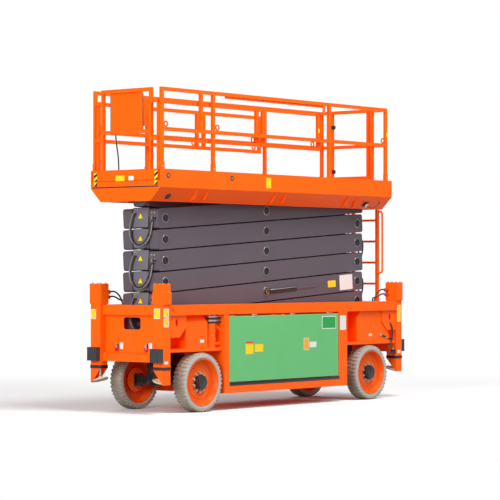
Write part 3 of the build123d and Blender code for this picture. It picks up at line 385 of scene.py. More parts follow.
def make_tyre(corner):
    node = f"tyre_{corner}"
    bottom, top = low(node), high(node)
    centre = (bottom + top) / 2
    outer, half = (top.z - bottom.z) / 2, (top.y - bottom.y) / 2
    inner = outer - 0.069
    base = outer - groove_depth
    profile = [
        (inner, -half + 0.012), (inner + 0.006, -half + 0.002), (inner + 0.018, -half),
        (base - 0.030, -half), (base - 0.016, -half + 0.003), (base - 0.004, -half + 0.012),
        (base, -half + 0.026), (base, -half + 0.044), (base, -half + 0.062), (base, -0.010),
    ]
    profile += [(r, -y) for r, y in reversed(profile)]
    bm = bmesh.new()
    ring = [bm.verts.new((centre.x, centre.y + y, centre.z + r)) for r, y in profile]
    edges = [bm.edges.new(pair) for pair in zip(ring, ring[1:])]
    edges.append(bm.edges.new((ring[-1], ring[0])))
    bmesh.ops.spin(
        bm, geom=ring + edges, cent=centre, axis=Y, angle=2 * math.pi, steps=tread_steps, use_merge=True
    )
    bmesh.ops.remove_doubles(bm, verts=bm.verts, dist=1e-5)
    bmesh.ops.recalc_face_normals(bm, faces=bm.faces)
    lugs = []
    for face in bm.faces:
        place = face.calc_center_median() - centre
        if math.hypot(place.x, place.z) < base - 0.014:
            continue
        step = int((math.atan2(place.z, place.x) / (2 * math.pi) + 1) * tread_steps)
        side_shift = 0 if place.y < 0 else 1
        in_groove = (step + side_shift) % groove_pitch == 0
        if abs(place.y) < 0.012 or not in_groove:
            lugs.append(face)
    bmesh.ops.inset_region(
        bm, faces=lugs, thickness=0.0035, depth=groove_depth, use_even_offset=True, use_boundary=False
    )
    for v in bm.verts:  # the shoulder lugs stay within the width
        v.co.y = min(max(v.co.y, centre.y - half), centre.y + half)
    piece = finish_piece(f"tyre_tread_{corner}", bm, [tyre_rubber], f"wheel_{corner}", sharp=28)
    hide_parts(node)


for corner in corners:
    make_tyre(corner)

# %% [markdown]
# Each rim is held by ten nuts around its black hub, with a cap on the hub's face. The nuts are hexagons,
# six sided cones of equal radii, laid around a circle with their studs standing out of them. Their ring is
# one piece on each wheel, and it turns with the wheel.

# %% Wheel nuts and hub caps
nut_circle, nut_count = 0.112, 10
hub_face, hub_end = 0.6 - 0.062, 0.594


def make_hub(corner):
    bottom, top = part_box(f"rim_{corner}")
    out = Y * corners[corner][1]
    core = Vector(((bottom.x + top.x) / 2, 0, (bottom.z + top.z) / 2))
    bm = bmesh.new()
    for spot in around(core + out * hub_face, nut_circle, nut_count, 0.5):
        add_studs(bm, spot, out, (0, 0.004, 0.019, 20), (0.003, 0.019, 0.0155, 6, 0.0012))
        add_studs(bm, spot, out, (0, 0.028, 0.0085, 14, 0.0012))
    finish_piece(f"wheel_nuts_{corner}", bm, [zinc], f"wheel_{corner}")
    bm = bmesh.new()
    add_studs(
        bm, core, out, (hub_face - 0.002, hub_face + 0.014, 0.0935, 48, 0.004),
        (hub_face + 0.010, hub_end - 0.012, 0.0895, 48, 0.006),
        (hub_end - 0.016, hub_end + 0.004, 0.0790, 48, 0.004), (hub_end, hub_end + 0.0058, 0.024, 24, 0.0015),
    )
    for spot in around(core, 0.060, 8):
        add_studs(bm, spot, out, (hub_end, hub_end + 0.0058, 0.006, 6))
    finish_piece(f"hub_cap_{corner}", bm, [hose_rubber], f"wheel_{corner}")


for corner in corners:
    make_hub(corner)

# %% [markdown]
# Signs and stickers are blank here: a thin sheet of printed vinyl, often yellow with a white rim. Each
# is a block 1.2 mm thick, and an inset of its front face gives the rim, so the two colours are
# two materials on one mesh. A list per body keeps them in a few pieces, and all lie flat on their panel.

# %% Blank labels
label_thickness = 0.0012


def edges_along(edges, direction):
    """The edges that run along a direction."""
    return [e for e in edges if abs((e.verts[0].co - e.verts[1].co).normalized().dot(direction)) > 0.99]


def add_label(bm, centre, size, right, up=Z, rim=0.0, rim_index=0, field_index=1):
    """Rounded plate on a panel: centre on the panel, size (width, height), facing right x up."""
    out = Vector(right).cross(Vector(up)).normalized()
    centre = Vector(centre) + out * label_thickness / 2
    place = frame_at(centre, right, up) @ Matrix.Diagonal((size[0], size[1], label_thickness, 1.0))
    made = bmesh.ops.create_cube(bm, size=1.0, matrix=place)["verts"]
    upright = edges_along({e for v in made for e in v.link_edges}, out)
    eased = bmesh.ops.bevel(
        bm, geom=upright, offset=min(size) * 0.06, affect="EDGES", segments=3, profile=0.5, material=-1
    )
    faces = {f for v in made if v.is_valid for f in v.link_faces} | set(eased["faces"])
    for f in list(faces):
        faces |= {g for e in f.edges for g in e.link_faces}
    for f in faces:
        f.material_index = rim_index
    front = max(faces, key=lambda f: f.calc_center_median().dot(out) + f.calc_area() * 1e-3)
    if rim:
        bmesh.ops.inset_region(bm, faces=[front], thickness=rim, depth=0.0)
    front.material_index = field_index


vinyls = [white_vinyl, yellow_vinyl, amber_vinyl, green_vinyl, red_plastic]
WHITE, YELLOW, AMBER, GREEN, RED = range(5)


def label_piece(name, body, spots):
    """One piece of several labels: (centre, size, right, rim, rim colour, field colour)."""
    bm = bmesh.new()
    for centre, size, right, rim, rim_index, field_index in spots:
        add_label(bm, centre, size, right, Z, rim, rim_index, field_index)
    return finish_piece(name, bm, vinyls, body)


for name, s in side_of.items():
    y, right = s * 0.6, X * -s
    label_piece(f"door_labels_{name}", f"door_{name}", [
        ((-0.830, y, 0.735), (0.155, 0.133), right, 0.006, AMBER, YELLOW),
        ((-0.826, y, 0.812), (0.141, 0.019), right, 0.0, RED, RED),
        ((-0.645, y, 0.741), (0.164, 0.099), right, 0.006, AMBER, YELLOW),
        ((0.305, y, 0.764), (0.107, 0.155), right, 0.005, WHITE, AMBER),
        ((0.444, y, 0.756), (0.137, 0.070), right, 0.003, WHITE, WHITE),
        ((0.778, y, 1.030), (0.296, 0.165), right, 0.010, WHITE, GREEN),
    ])

# %% [markdown]
# Each outrigger ends in a jack: a wear band of black nylon where the tube leaves its sleeve, an open
# shoe, and a dished pad that leans on the end of a bright rod. The band is a plain eased block around
# the tube. The pad is turned, as the casting is, so its profile is spun about the axis it leans on.

# %% Jack bands, pads and rods
leg_x, leg_y, pad_tilt = 2.3385, 0.5075, math.radians(16)
pad_profile = [
    (0.0, -0.001), (0.080, -0.001), (0.089, 0.002), (0.0935, 0.008), (0.0935, 0.0205), (0.0905, 0.0232),
    (0.0842, 0.0235), (0.0775, 0.0140), (0.0500, 0.0165), (0.0352, 0.0222), (0.0300, 0.0330),
    (0.0245, 0.0470), (0.0, 0.0470),
]


def make_jack_trim(corner):
    end, s = corners[corner]
    bm = bmesh.new()
    add_block(bm, (end * leg_x, s * leg_y, 0.5390), (0.136, 0.169, 0.041), 0.004)
    finish_piece(f"jack_band_{corner}", bm, [black_plastic], f"jack_{corner}")
    lean = Vector((0, s * math.sin(pad_tilt), math.cos(pad_tilt)))
    centre = Vector((end * leg_x, s * (leg_y - 0.030), 0.372))
    bm = bmesh.new()
    spin_profile(bm, centre, lean, pad_profile, 64)
    for n in range(8):
        arm = Matrix.Rotation(2 * math.pi * n / 8, 4, lean) @ X
        spot = centre + arm * 0.056 + lean * 0.0185
        add_block(bm, spot, (0.044, 0.006, 0.008), 0.001, arm, lean.cross(arm))
    finish_piece(f"jack_pad_{corner}", bm, [pad_casting], f"jack_{corner}")
    bm = bmesh.new()
    foot = centre + lean * 0.047
    add_studs(bm, foot, Z, (-0.006, 0.5178 - foot.z, 0.0207, 32), (0.010, 0.026, 0.0260, 6, 0.001))
    finish_piece(f"jack_rod_{corner}", bm, [zinc], f"jack_{corner}")


for corner in corners:
    make_jack_trim(corner)

# %% [markdown]
# The hydraulic hoses of the lift run from level to level over the ends of the arms, in U shaped loops
# between pairs of fittings. A hose is drawn as a smooth NURBS curve through listed points with a round
# bevel, and then turned into a mesh, so that it can ride a body. A hose given a bend rides no body and
# stays where it is drawn.

# %% Hose helper
def add_hose(name, points, radius, body, material=hose_rubber, bend=None):
    """Hose along control points; the parts of bend are not used, and a hose given one rides no body."""
    curve = bpy.data.curves.new(name, "CURVE")
    curve.dimensions = "3D"
    spline = curve.splines.new("NURBS")
    spline.points.add(len(points) - 1)
    for point, place in zip(spline.points, points):
        point.co = (*place, 1.0)
    spline.order_u = 3
    spline.use_endpoint_u = True
    length = spline.calc_length()
    curve.resolution_u = 10
    curve.bevel_depth = radius
    curve.bevel_resolution = 3
    curve.use_fill_caps = True
    carrier = bpy.data.objects.new(name + "_curve", curve)
    mesh = bpy.data.meshes.new_from_object(carrier)
    bpy.data.objects.remove(carrier)
    mesh.name = name
    mesh.materials.clear()
    mesh.materials.append(material)
    mesh.shade_smooth()
    piece = bpy.data.objects.new(name, mesh)
    bpy.context.scene.collection.objects.link(piece)
    if bend:
        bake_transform(piece)
    else:
        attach(piece, body)
    print(name, "length", round(length, 3), "m")
    return piece


# %% [markdown]
# The front ends of the inner arms carry cover plates: square ones on the odd levels, and plates with a
# round lower edge on the even ones, so that the hose loops hang freely around them. Each has a blank
# yellow triangle, which is a three sided cone with no height to speak of.

# %% Cover plates of the inner arms
arm_pitch, first_pin_z, pin_front_x, pin_rear_x = 0.2545, 1.050, -2.032, 1.803
rest_angle = math.atan2(arm_pitch, pin_rear_x - pin_front_x)
plate_up = Vector((math.sin(rest_angle), 0, math.cos(rest_angle)))
plate_out = Vector((-math.cos(rest_angle), 0, math.sin(rest_angle)))


def plate_point(level, y, height, out=0.0):
    """Point on the cover plate of a level: y across, height from its middle, out from its face."""
    pin = Vector((pin_front_x, 0, first_pin_z + level * arm_pitch))
    return pin + plate_out * (0.120 + out) + plate_up * height + Y * y


def make_cover(level):
    bm = bmesh.new()
    add_block(bm, plate_point(level, 0, 0, 0.0024), (0.250, 0.236, 0.004), 0.0, -Y, plate_up)
    round_lower = level % 2 == 0
    upright = edges_along(bm.edges, plate_out)
    middle = plate_point(level, 0, 0)
    low_ones = [e for e in upright if (e.verts[0].co - middle).dot(plate_up) < 0]
    high_ones = [e for e in upright if e not in low_ones]
    bmesh.ops.bevel(
        bm, geom=low_ones, offset=0.100 if round_lower else 0.010, affect="EDGES",
        segments=16 if round_lower else 4, profile=0.5, material=-1,
    )
    bmesh.ops.bevel(bm, geom=high_ones, offset=0.010, affect="EDGES", segments=4, profile=0.5, material=-1)
    front = max(bm.faces, key=lambda f: f.calc_center_median().dot(plate_out) + f.calc_area())
    bmesh.ops.inset_region(bm, faces=[front], thickness=0.003, depth=0.0012)
    finish_piece(f"arm_cover_{level}", bm, [lit_cover_coat], f"inner_arm_{level}")
    bm = bmesh.new()
    face = plate_point(level, 0, -0.004 if round_lower else 0.010, 0.0062)
    turn = frame_at(face, -Y, plate_up)
    bmesh.ops.create_cone(
        bm, cap_ends=True, segments=3, radius1=0.046, radius2=0.046, depth=0.0012, matrix=turn
    )
    front = max(bm.faces, key=lambda f: f.calc_center_median().dot(plate_out) + f.calc_area())
    bmesh.ops.inset_region(bm, faces=[front], thickness=0.004, depth=0.0)
    for f in bm.faces:
        f.material_index = 1
    front.material_index = 0
    finish_piece(
        f"arm_triangle_{level}", bm, [yellow_vinyl, hose_rubber], f"inner_arm_{level}"
    )


for level in range(1, 7):
    make_cover(level)

# %% [markdown]
# Fittings and hose loops. On the odd levels four screws on the square plate stand for the fittings at
# the start of two hoses, and five screws and a clamp block on the outer arm above for those at their
# ends. The loops swing out to the far side, hang below the round plate and rise to the near side. They
# ride no body, though the two arms they join turn about the same pin.

# %% Front hose loops
outer_up = Vector((-math.sin(rest_angle), 0, math.cos(rest_angle)))
outer_out = Vector((-math.cos(rest_angle), 0, -math.sin(rest_angle)))


def end_point(level, y, height, out=0.0):
    """Point on the end face of the outer arm that shares this level's front pin."""
    pin = Vector((pin_front_x, 0, first_pin_z + level * arm_pitch))
    return pin + outer_out * (0.120 + out) + outer_up * height + Y * y


loop_shapes = [
    [(0.110, 0.050), (0.141, -0.044), (0.155, -0.135), (0.149, -0.215), (0.084, -0.315), (-0.030, -0.358),
     (-0.143, -0.299), (-0.192, -0.200), (-0.200, -0.120), (-0.212, -0.045)],
    [(0.080, 0.030), (0.108, -0.060), (0.118, -0.150), (0.112, -0.235), (0.048, -0.322), (-0.040, -0.338),
     (-0.122, -0.290), (-0.168, -0.200), (-0.182, -0.120), (-0.196, -0.060)],
]


def make_fittings(level):
    upper = f"outer_arm_{level + 1}"
    bm = bmesh.new()
    for y, height in ((0.086, 0.098), (0.048, 0.098), (0.072, 0.066), (0.056, 0.040)):
        spot = plate_point(level, y, height, 0.004)
        add_studs(bm, spot, plate_out, (0, 0.012, 0.0125, 6, 0.001), (0, 0.019, 0.0065, 12))
    finish_piece(f"cover_screws_{level}", bm, [zinc], f"inner_arm_{level}")
    bm = bmesh.new()
    for y, height in ((-0.192, 0.078), (-0.232, 0.078), (-0.198, 0.030), (-0.236, 0.022), (-0.228, -0.006)):
        spot = end_point(level, y, height, -0.002)
        add_studs(bm, spot, outer_out, (0, 0.013, 0.0125, 6, 0.001), (0, 0.020, 0.0065, 12))
    finish_piece(f"arm_screws_{level}", bm, [zinc], upper)
    bm = bmesh.new()
    add_block(bm, end_point(level, -0.214, 0.010, 0.010), (0.070, 0.026, 0.022), 0.003, -Y, outer_up)
    finish_piece(f"arm_clamp_{level}", bm, [black_plastic], upper)
    for n, shape in enumerate(loop_shapes):
        out = 0.018 + 0.014 * n
        start = ((0.072, 0.066), (0.056, 0.040))[n]
        end = ((-0.198, 0.030), (-0.232, 0.012))[n]
        points = [plate_point(level, *start, 0.014), plate_point(level, *start, out + 0.006)]
        points += [plate_point(level, y, height, out + 0.004) for y, height in shape]
        points += [end_point(level, end[0] + 0.004, end[1] - 0.022, out + 0.002)]
        points += [end_point(level, *end, out), end_point(level, *end, 0.012)]
        middle = plate_point(level, 0, -arm_pitch)
        add_hose(
            f"hose_loop_{level}_{n + 1}", points, 0.0090, f"inner_arm_{level}",
            (light_hose, hose_rubber)[n], (upper, (middle.x, 0.10, middle.z), (middle.x, -0.16, middle.z)),
        )


for level in (1, 3, 5):
    make_fittings(level)

# %% [markdown]
# The pins of the arms show on the outer arms as dark heads in a bright edged ring. The head is a turned
# disc with a recess and four screws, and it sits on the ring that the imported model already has.

# %% Pin heads
def add_pin_head(bm, x, z, side, y_face, radius=0.0422):
    """Turned head on an arm's side: ring, disc with a recess, screws."""
    centre = Vector((x, side * y_face, z))
    out = Y * side
    profile = [
        (0.0, -0.004), (radius * 0.36, -0.004), (radius * 0.42, 0.0005), (radius * 0.86, 0.0005),
        (radius, -0.002), (radius + 0.0006, -0.0110), (radius + 0.0052, -0.0113), (radius + 0.0056, -0.0174),
    ]
    spin_profile(bm, centre, out, profile, 40)
    for spot in around(centre, radius * 0.64, 4, 0.5):
        add_studs(bm, spot, out, (0, 0.005, 0.0052, 6))


arm_face, head_height, middle_x = 0.285, 0.0184, (pin_front_x + pin_rear_x) / 2
ring_profile = [(0.0572, -0.006), (0.0572, 0.0), (0.0560, 0.0012), (0.0510, 0.0012)]
for level in range(1, 7):
    z_low = first_pin_z + (level - 1) * arm_pitch
    spots = [(pin_front_x, z_low), (middle_x, z_low + arm_pitch / 2), (pin_rear_x, z_low + arm_pitch)]
    places = [(x, z, s) for x, z in spots for s in (-1, 1)]
    bm = bmesh.new()
    for x, z, s in places:
        add_pin_head(bm, x, z, s, arm_face + head_height)
    finish_piece(f"pin_heads_{level}", bm, [dark_casting], f"outer_arm_{level}")
    bm = bmesh.new()
    for x, z, s in places:
        spin_profile(bm, Vector((x, s * (arm_face + 0.0062), z)), Y * s, ring_profile, 48)
    finish_piece(f"pin_rings_{level}", bm, [zinc], f"outer_arm_{level}")

# %% [markdown]
# Labels on the chassis. They are screen printed vinyl on the machine and stay blank here: the field and
# the rim keep their colours, and there is no lettering. The same helper as on the doors places them on
# the legs, on the front panel beside the tie down slots, on the gear boxes, and on the bay's rear post,
# where the photograph has that label on the keel. The far side's labels are copies that it doesn't show.

# %% Chassis labels
front_face, sleeve_face, panel_face, box_face = -2.401, 0.5865, -2.306, 0.558
label_piece("front_leg_labels", "chassis", [
    ((front_face, 0.541, 1.171), (0.083, 0.119), -Y, 0.008, WHITE, YELLOW),
    ((front_face, -0.486, 1.188), (0.095, 0.122), -Y, 0.008, WHITE, YELLOW),
])
label_piece("tie_down_labels", "chassis", [
    ((panel_face, 0.168, 0.795), (0.052, 0.076), -Y, 0.0, WHITE, WHITE),
    ((panel_face, -0.297, 0.802), (0.052, 0.070), -Y, 0.0, WHITE, WHITE),
])
for place, end in end_of.items():
    bm = bmesh.new()
    for y in (-0.237, 0.237):
        face = Vector((end * 2.306, y, 0.781))
        middle = face + X * end * 0.014 - Z * 0.022
        angles = [2 * math.pi * n / 16 for n in range(17)]
        ring = [middle + (Y * math.cos(t) + Z * math.sin(t)) * 0.021 for t in angles]
        for spot, following in zip(ring, ring[1:]):
            add_bar(bm, spot, following, 0.0105, 12, 0.0, 0)
        add_block(bm, face + Vector((end * 0.012, 0, 0.016)), (0.024, 0.026, 0.056), 0.003, X, Y, 1)
    finish_piece(f"tie_down_lugs_{place}", bm, [red_plastic, zinc], "chassis")

for name, s in side_of.items():
    right = X * -s
    label_piece(f"leg_side_labels_{name}", "chassis", [
        ((-2.351, s * sleeve_face, 1.195), (0.090, 0.104), right, 0.009, WHITE, YELLOW),
        ((-2.351, s * sleeve_face, 1.081), (0.090, 0.104), right, 0.009, WHITE, YELLOW),
        ((2.338, s * sleeve_face, 1.124), (0.081, 0.223), right, 0.007, WHITE, YELLOW),
        ((-2.351, s * sleeve_face, 0.610), (0.062, 0.031), right, 0.0, WHITE, WHITE),
        ((2.340, s * sleeve_face, 0.612), (0.069, 0.039), right, 0.0, WHITE, WHITE),
        ((-1.673, s * box_face, 0.849), (0.070, 0.035), right, 0.0, WHITE, WHITE),
        ((1.735, s * box_face, 0.847), (0.067, 0.031), right, 0.0, WHITE, WHITE),
        ((1.076, s * 0.6000, 1.022), (0.126, 0.186), right, 0.004, WHITE, WHITE),
        ((-2.250, s * 0.600, 1.231), (0.026, 0.040), right, 0.0, RED, RED),
    ])

# %% [markdown]
# The platform carries blank labels as well, and at both ends of its front plates upright hazard bars,
# black and yellow by turns: a long one on the extension and a short one on the platform below it. They
# are made of slanted blocks, so the stripes are geometry.

# %% Platform labels and hazard bars
platform_front, fascia_face = -2.428, 0.561
label_piece("front_plate_labels", "extension", [
    ((platform_front, 0.081, 2.794), (0.146, 0.068), -Y, 0.004, AMBER, YELLOW),
    ((platform_front, -0.096, 2.792), (0.082, 0.052), -Y, 0.0, WHITE, WHITE),
])
for name, s in side_of.items():
    label_piece(f"fascia_label_{name}", "platform", [
        ((-0.408, s * fascia_face, 2.784), (0.102, 0.133), X * -s, 0.007, AMBER, YELLOW),
    ])


def add_hazard_bar(bm, centre, size, right, up, bands=6):
    """Upright bar of slanted bands, yellow and black by turns, 1 mm proud of a panel."""
    right, up = Vector(right).normalized(), Vector(up).normalized()
    out = right.cross(up)
    wide, tall = size
    step = tall / bands
    for n in range(-1, bands + 1):
        lowest, highest = -tall / 2 + n * step, -tall / 2 + (n + 1) * step
        band = []
        for side, z in ((-1, lowest), (1, lowest + step), (1, highest + step), (-1, highest)):
            z = min(max(z, -tall / 2), tall / 2)
            band.append(Vector(centre) + right * side * wide / 2 + up * z)
        if (band[2] - band[1]).length + (band[3] - band[0]).length < 1e-6:
            continue
        front = [bm.verts.new(c + out * 0.0012) for c in band]
        back = [bm.verts.new(c - out * 0.0004) for c in band]
        faces = [bm.faces.new(front)]
        for a in range(4):
            b = (a + 1) % 4
            faces.append(bm.faces.new((front[b], front[a], back[a], back[b])))
        for f in faces:
            f.material_index = n % 2


for body, z, tall, bands in (("extension", 2.8145, 0.105, 3), ("platform", 2.7290, 0.052, 1)):
    bm = bmesh.new()
    for y in (0.484, -0.494):
        add_hazard_bar(bm, (platform_front, y, z), (0.052, tall), -Y, Z, bands)
    bmesh.ops.dissolve_degenerate(bm, dist=1e-5, edges=bm.edges)
    finish_piece(f"hazard_bars_{body}", bm, [yellow_vinyl, black_plastic], body)

# %% [markdown]
# Small parts of the platform's fascia: two round openings on each side, a black plug on the slope, the
# socket for mains power with its tethered cap, and a black strip that is painted shadow in the gap under
# the extension's front plate. The openings aren't cut: each is a flat dark disc on the face, painted shade
# for the hollow, with a smaller bright one a little prouder.

# %% Fascia details
for name, s in side_of.items():
    bm = bmesh.new()
    for x, z in ((-2.285, 2.817), (-1.116, 2.821)):
        face = Vector((x, s * fascia_face, z))
        # The larger dark disc is painted shade for the hollow of the opening.
        add_studs(bm, face, Y * s, (-0.002, 0.0020, 0.0320, 32), (-0.002, 0.0028, 0.0190, 24, 0.0, 1))
    finish_piece(f"fascia_hole_shade_discs_{name}", bm, [dark_casting, zinc], "platform")


def slope_at(x, z, side, proud=0.0):
    """Point on the sloped lower fascia at a height."""
    y = 0.401 + (0.561 - 0.401) * (z - 2.516) / (2.678 - 2.516)
    out = Vector((0, side * 0.162, -0.160)).normalized()
    return Vector((x, side * y, z)) + out * proud, out


for name, s in side_of.items():
    bm = bmesh.new()
    face, out = slope_at(-2.180, 2.575, s)
    add_studs(bm, face, out, (-0.002, 0.006, 0.044, 32, 0.002), (0, 0.012, 0.024, 6, 0.001))
    finish_piece(f"slope_plug_{name}", bm, [dark_casting], "platform")

bm = bmesh.new()
face, out = slope_at(1.747, 2.577, -1)
add_block(bm, face + out * 0.006, (0.090, 0.072, 0.014), 0.004, X, -out.cross(X))
add_studs(bm, face, out, (0.010, 0.034, 0.026, 24, 0.002), (0.030, 0.037, 0.030, 24, 0.002, 1))
finish_piece("mains_socket", bm, [dark_casting, zinc], "platform")
end, out = slope_at(2.021, 2.610, -1)
points = [
    face + out * 0.034, face + out * 0.050 + Vector((0.05, 0, -0.012)),
    face + out * 0.040 + Vector((0.13, 0, -0.030)), end + out * 0.030 + Vector((-0.07, 0, -0.030)),
    end + out * 0.012, end,
]
add_hose("socket_tether", points, 0.0045, "platform")

# Painted shadow: a black strip for the shade in the gap under the extension's front plate.
bm = bmesh.new()
add_block(bm, (platform_front + 0.004, 0.0, 2.6880), (0.0110, 1.070, 0.0150), 0.001)
finish_piece("front_gap_shadow_strip", bm, [black_plastic], "platform")

# %% [markdown]
# Every outrigger cap has two valves on the face towards the middle of the machine, red knobs with bright
# studs, and two hoses that run down to the frame. The bolts on the cap hold the jack's cylinder. Those at
# front near and rear far are copies, as the photograph doesn't show them.

# %% Cap valves and bolts
cap_top = 1.538
for corner, (end, s) in corners.items():
    inward = X * -end
    seats = [Vector((end * 2.271, s * 0.444, 1.436)), Vector((end * 2.271, s * 0.450, 1.376))]
    bm = bmesh.new()
    for seat in seats:
        add_studs(bm, seat, inward, (-0.003, 0.012, 0.0270, 6, 0.001, 1), (0.010, 0.044, 0.0265, 20, 0.002))
        add_studs(bm, seat, inward, (0.042, 0.060, 0.0130, 16, 0.001, 1))
    finish_piece(f"cap_valves_{corner}", bm, [red_plastic, zinc], "chassis")
    bm = bmesh.new()
    for dx in (-0.044, 0.044):
        for dy in (-0.066, 0.066):
            spot = Vector((end * leg_x + dx, s * leg_y + dy, cap_top))
            add_studs(bm, spot, Z, (-0.002, 0.003, 0.0150, 24), (0, 0.011, 0.0105, 6, 0.001))
    finish_piece(f"cap_bolts_{corner}", bm, [zinc], "chassis")
    for n, seat in enumerate(seats):
        side = -Y * s
        points = [
            seat + inward * 0.056, seat + inward * 0.090 + Z * 0.010,
            seat + inward * 0.135 + side * 0.015 + Z * 0.004,
            seat + inward * (0.180 + 0.02 * n) + side * 0.040 - Z * 0.040,
            Vector((seat.x, s * (0.400 - 0.030 * n), 1.335)) + inward * (0.215 + 0.02 * n),
            Vector((seat.x, s * 0.384, 1.275)) + inward * (0.222 + 0.03 * n),
            Vector((seat.x, s * 0.352, 1.235)) + inward * (0.224 + 0.03 * n),
        ]
        add_hose(f"cap_hose_{corner}_{n + 1}", points, 0.0100, "chassis")

# %% [markdown]
# Running gear seen from the side: the valve bars above the front filter, the bent pipe beside it, the
# connectors on the rear gear box, the valve and hose of the rear leg, the brake drum behind each steered
# wheel, the stops of the door and a dark strip along the sill below it. The far side is a mirrored copy
# that no photo shows.

# %% Running gear details
for name, s in side_of.items():
    bm = bmesh.new()
    for z, index in ((1.140, 1), (1.116, 0), (1.092, 1), (1.068, 0)):
        add_block(bm, (-1.402, s * 0.512, z), (0.250, 0.056, 0.019), 0.003, X, Y, index)
    for x in (-1.500, -1.402, -1.304):
        add_studs(bm, Vector((x, s * 0.520, 0)), Z, (1.056, 1.170, 0.010, 6, 0.0, 1))
    finish_piece(f"valve_bars_{name}", bm, [black_plastic, zinc], "chassis")
    points = [
        (-1.384, s * 0.500, 1.060), (-1.372, s * 0.510, 1.020), (-1.312, s * 0.520, 0.985),
        (-1.247, s * 0.522, 0.930), (-1.244, s * 0.520, 0.860), (-1.302, s * 0.515, 0.812),
        (-1.357, s * 0.500, 0.806), (-1.397, s * 0.490, 0.812),
    ]
    add_hose(f"filter_pipe_{name}", points, 0.020, "chassis", orange_coat)
    bm = bmesh.new()
    for n in range(4):
        x, z = 1.930 + 0.070 * n, 0.848 - 0.018 * n
        add_bar(bm, (x, s * 0.561, z), (x + 0.050, s * 0.561, z - 0.010), 0.013, 16, 0.001, n % 2)
    finish_piece(f"rear_connectors_{name}", bm, [zinc, black_plastic], "chassis")
    points = [
        (2.150, s * 0.5640, 1.010), (2.172, s * 0.5850, 0.975), (2.197, s * 0.5860, 0.880),
        (2.192, s * 0.5860, 0.800), (2.138, s * 0.5850, 0.703), (2.082, s * 0.5800, 0.645),
        (2.092, s * 0.5700, 0.602), (2.150, s * 0.5650, 0.588), (2.220, s * 0.5600, 0.600),
    ]
    add_hose(f"rear_leg_hose_{name}", points, 0.0100, "chassis")
    bm = bmesh.new()
    add_block(bm, (2.250, s * 0.5550, 0.612), (0.058, 0.046, 0.056), 0.005, X, Y, 1)
    add_bar(bm, (2.214, s * 0.5560, 0.602), (2.232, s * 0.5560, 0.604), 0.0150, 6, 0.001, 0)
    add_bar(bm, (2.246, s * 0.5550, 0.636), (2.246, s * 0.5550, 0.664), 0.0120, 16, 0.001, 0)
    finish_piece(f"rear_leg_valve_{name}", bm, [zinc, black_plastic], "chassis")
    bm = bmesh.new()
    axle = Vector((-wheel_x, 0, wheel_z))
    # The black ring at the drum's edge is painted shade, for the dark gap between the drum and the rim.
    add_studs(bm, axle, Y * s, (0.486, 0.520, 0.150, 48, 0.004), (0.494, 0.506, 0.1545, 48, 0.002, 1))
    for spot in around(axle + Y * s * 0.487, 0.118, 8):
        add_studs(bm, spot, Y * -s, (0, 0.009, 0.0095, 6, 0.001, 2))
    finish_piece(
        f"brake_drum_{name}", bm, [orange_coat, black_plastic, zinc], f"knuckle_{name}"
    )
    bm = bmesh.new()
    for x in (-1.145, -0.360, -0.155, 0.847):
        add_block(bm, (x, s * 0.5900, 1.1465), (0.074, 0.014, 0.012), 0.002)
    finish_piece(f"door_stops_{name}", bm, [orange_coat], f"door_{name}")
    bm = bmesh.new()
    # A dark strip along the sill below the door.
    add_block(bm, (-0.1035, s * 0.6002, 0.3135), (2.209, 0.0040, 0.038), 0.001)
    finish_piece(f"sill_dark_strip_{name}", bm, [dark_casting], "chassis")

# %% [markdown]
# The second arm of the stack carries a bronze bush with a bolt at its middle pin and a flat guard beside
# it, and near its rear end a sheet and a label, both blank. They lie along the arm, so they are placed
# by a point on the arm's middle line and turned with it. A hose loops over the rear end of levels 2 and
# 4. It rides the outer arm alone, because no joint ties that arm to the one above.

# %% Things on the outer arms
arm_along = Vector((math.cos(rest_angle), 0, math.sin(rest_angle)))


def arm_side(level, x, side, height=0.0, out=0.0):
    """Point on the outer face of an outer arm, by its place along the machine."""
    z = first_pin_z + (level - 1) * arm_pitch + (x - pin_front_x) * math.tan(rest_angle)
    return Vector((x, side * (arm_face + out), z)) + outer_up * height


bm = bmesh.new()
add_label(bm, arm_side(2, 1.560, -1), (0.280, 0.196), arm_along, outer_up, 0.006, WHITE, WHITE)
add_label(bm, arm_side(2, 1.250, -1), (0.170, 0.090), arm_along, outer_up, 0.006, AMBER, YELLOW)
finish_piece("arm_labels", bm, vinyls, "outer_arm_2")
bm = bmesh.new()
hub, guard_x = arm_side(2, middle_x, -1), middle_x + 0.330
add_studs(bm, hub, -Y, (0.017, 0.0245, 0.0360, 32, 0.0015, 1), (0.022, 0.0270, 0.0165, 6, 0.001))
add_block(bm, arm_side(2, guard_x, -1, 0.0, 0.006), (0.560, 0.014, 0.056), 0.004, arm_along, Y, 0)
add_block(bm, arm_side(2, guard_x, -1, 0.018, 0.014), (0.520, 0.010, 0.012), 0.002, arm_along, Y, 2)
finish_piece("pin_guard", bm, [dark_casting, bronze, zinc], "outer_arm_2")

for level in (2, 4):
    pin = Vector((pin_rear_x, 0, first_pin_z + level * arm_pitch))
    shape = [
        (0.116, -0.250, 0.050), (0.150, -0.250, 0.046), (0.182, -0.248, 0.000), (0.190, -0.242, -0.090),
        (0.184, -0.225, -0.185), (0.176, -0.205, -0.215), (0.174, -0.188, -0.160), (0.168, -0.176, -0.060),
        (0.150, -0.170, 0.020), (0.112, -0.170, 0.030),
    ]
    add_hose(f"rear_hose_{level}", [pin + Vector(p) for p in shape], 0.0100, f"outer_arm_{level}")

# %% [markdown]
# Small things that the picture shows as bright and black spots: plated hinges on the doors, black knobs
# on the gate's pins, and the cable of the control panel.

# %% Small parts of doors, rails and panel
for name, s in side_of.items():
    bm = bmesh.new()
    for x in (-0.728, 0.029, 0.786):
        add_block(bm, (x, s * 0.6008, 1.1340), (0.086, 0.0026, 0.020), 0.0008, X, Y)
        add_studs(bm, Vector((x, s * 0.5950, 1.1530)), X, (-0.043, 0.043, 0.0078, 16, 0.001))
    finish_piece(f"door_hinges_{name}", bm, [zinc], f"door_{name}")

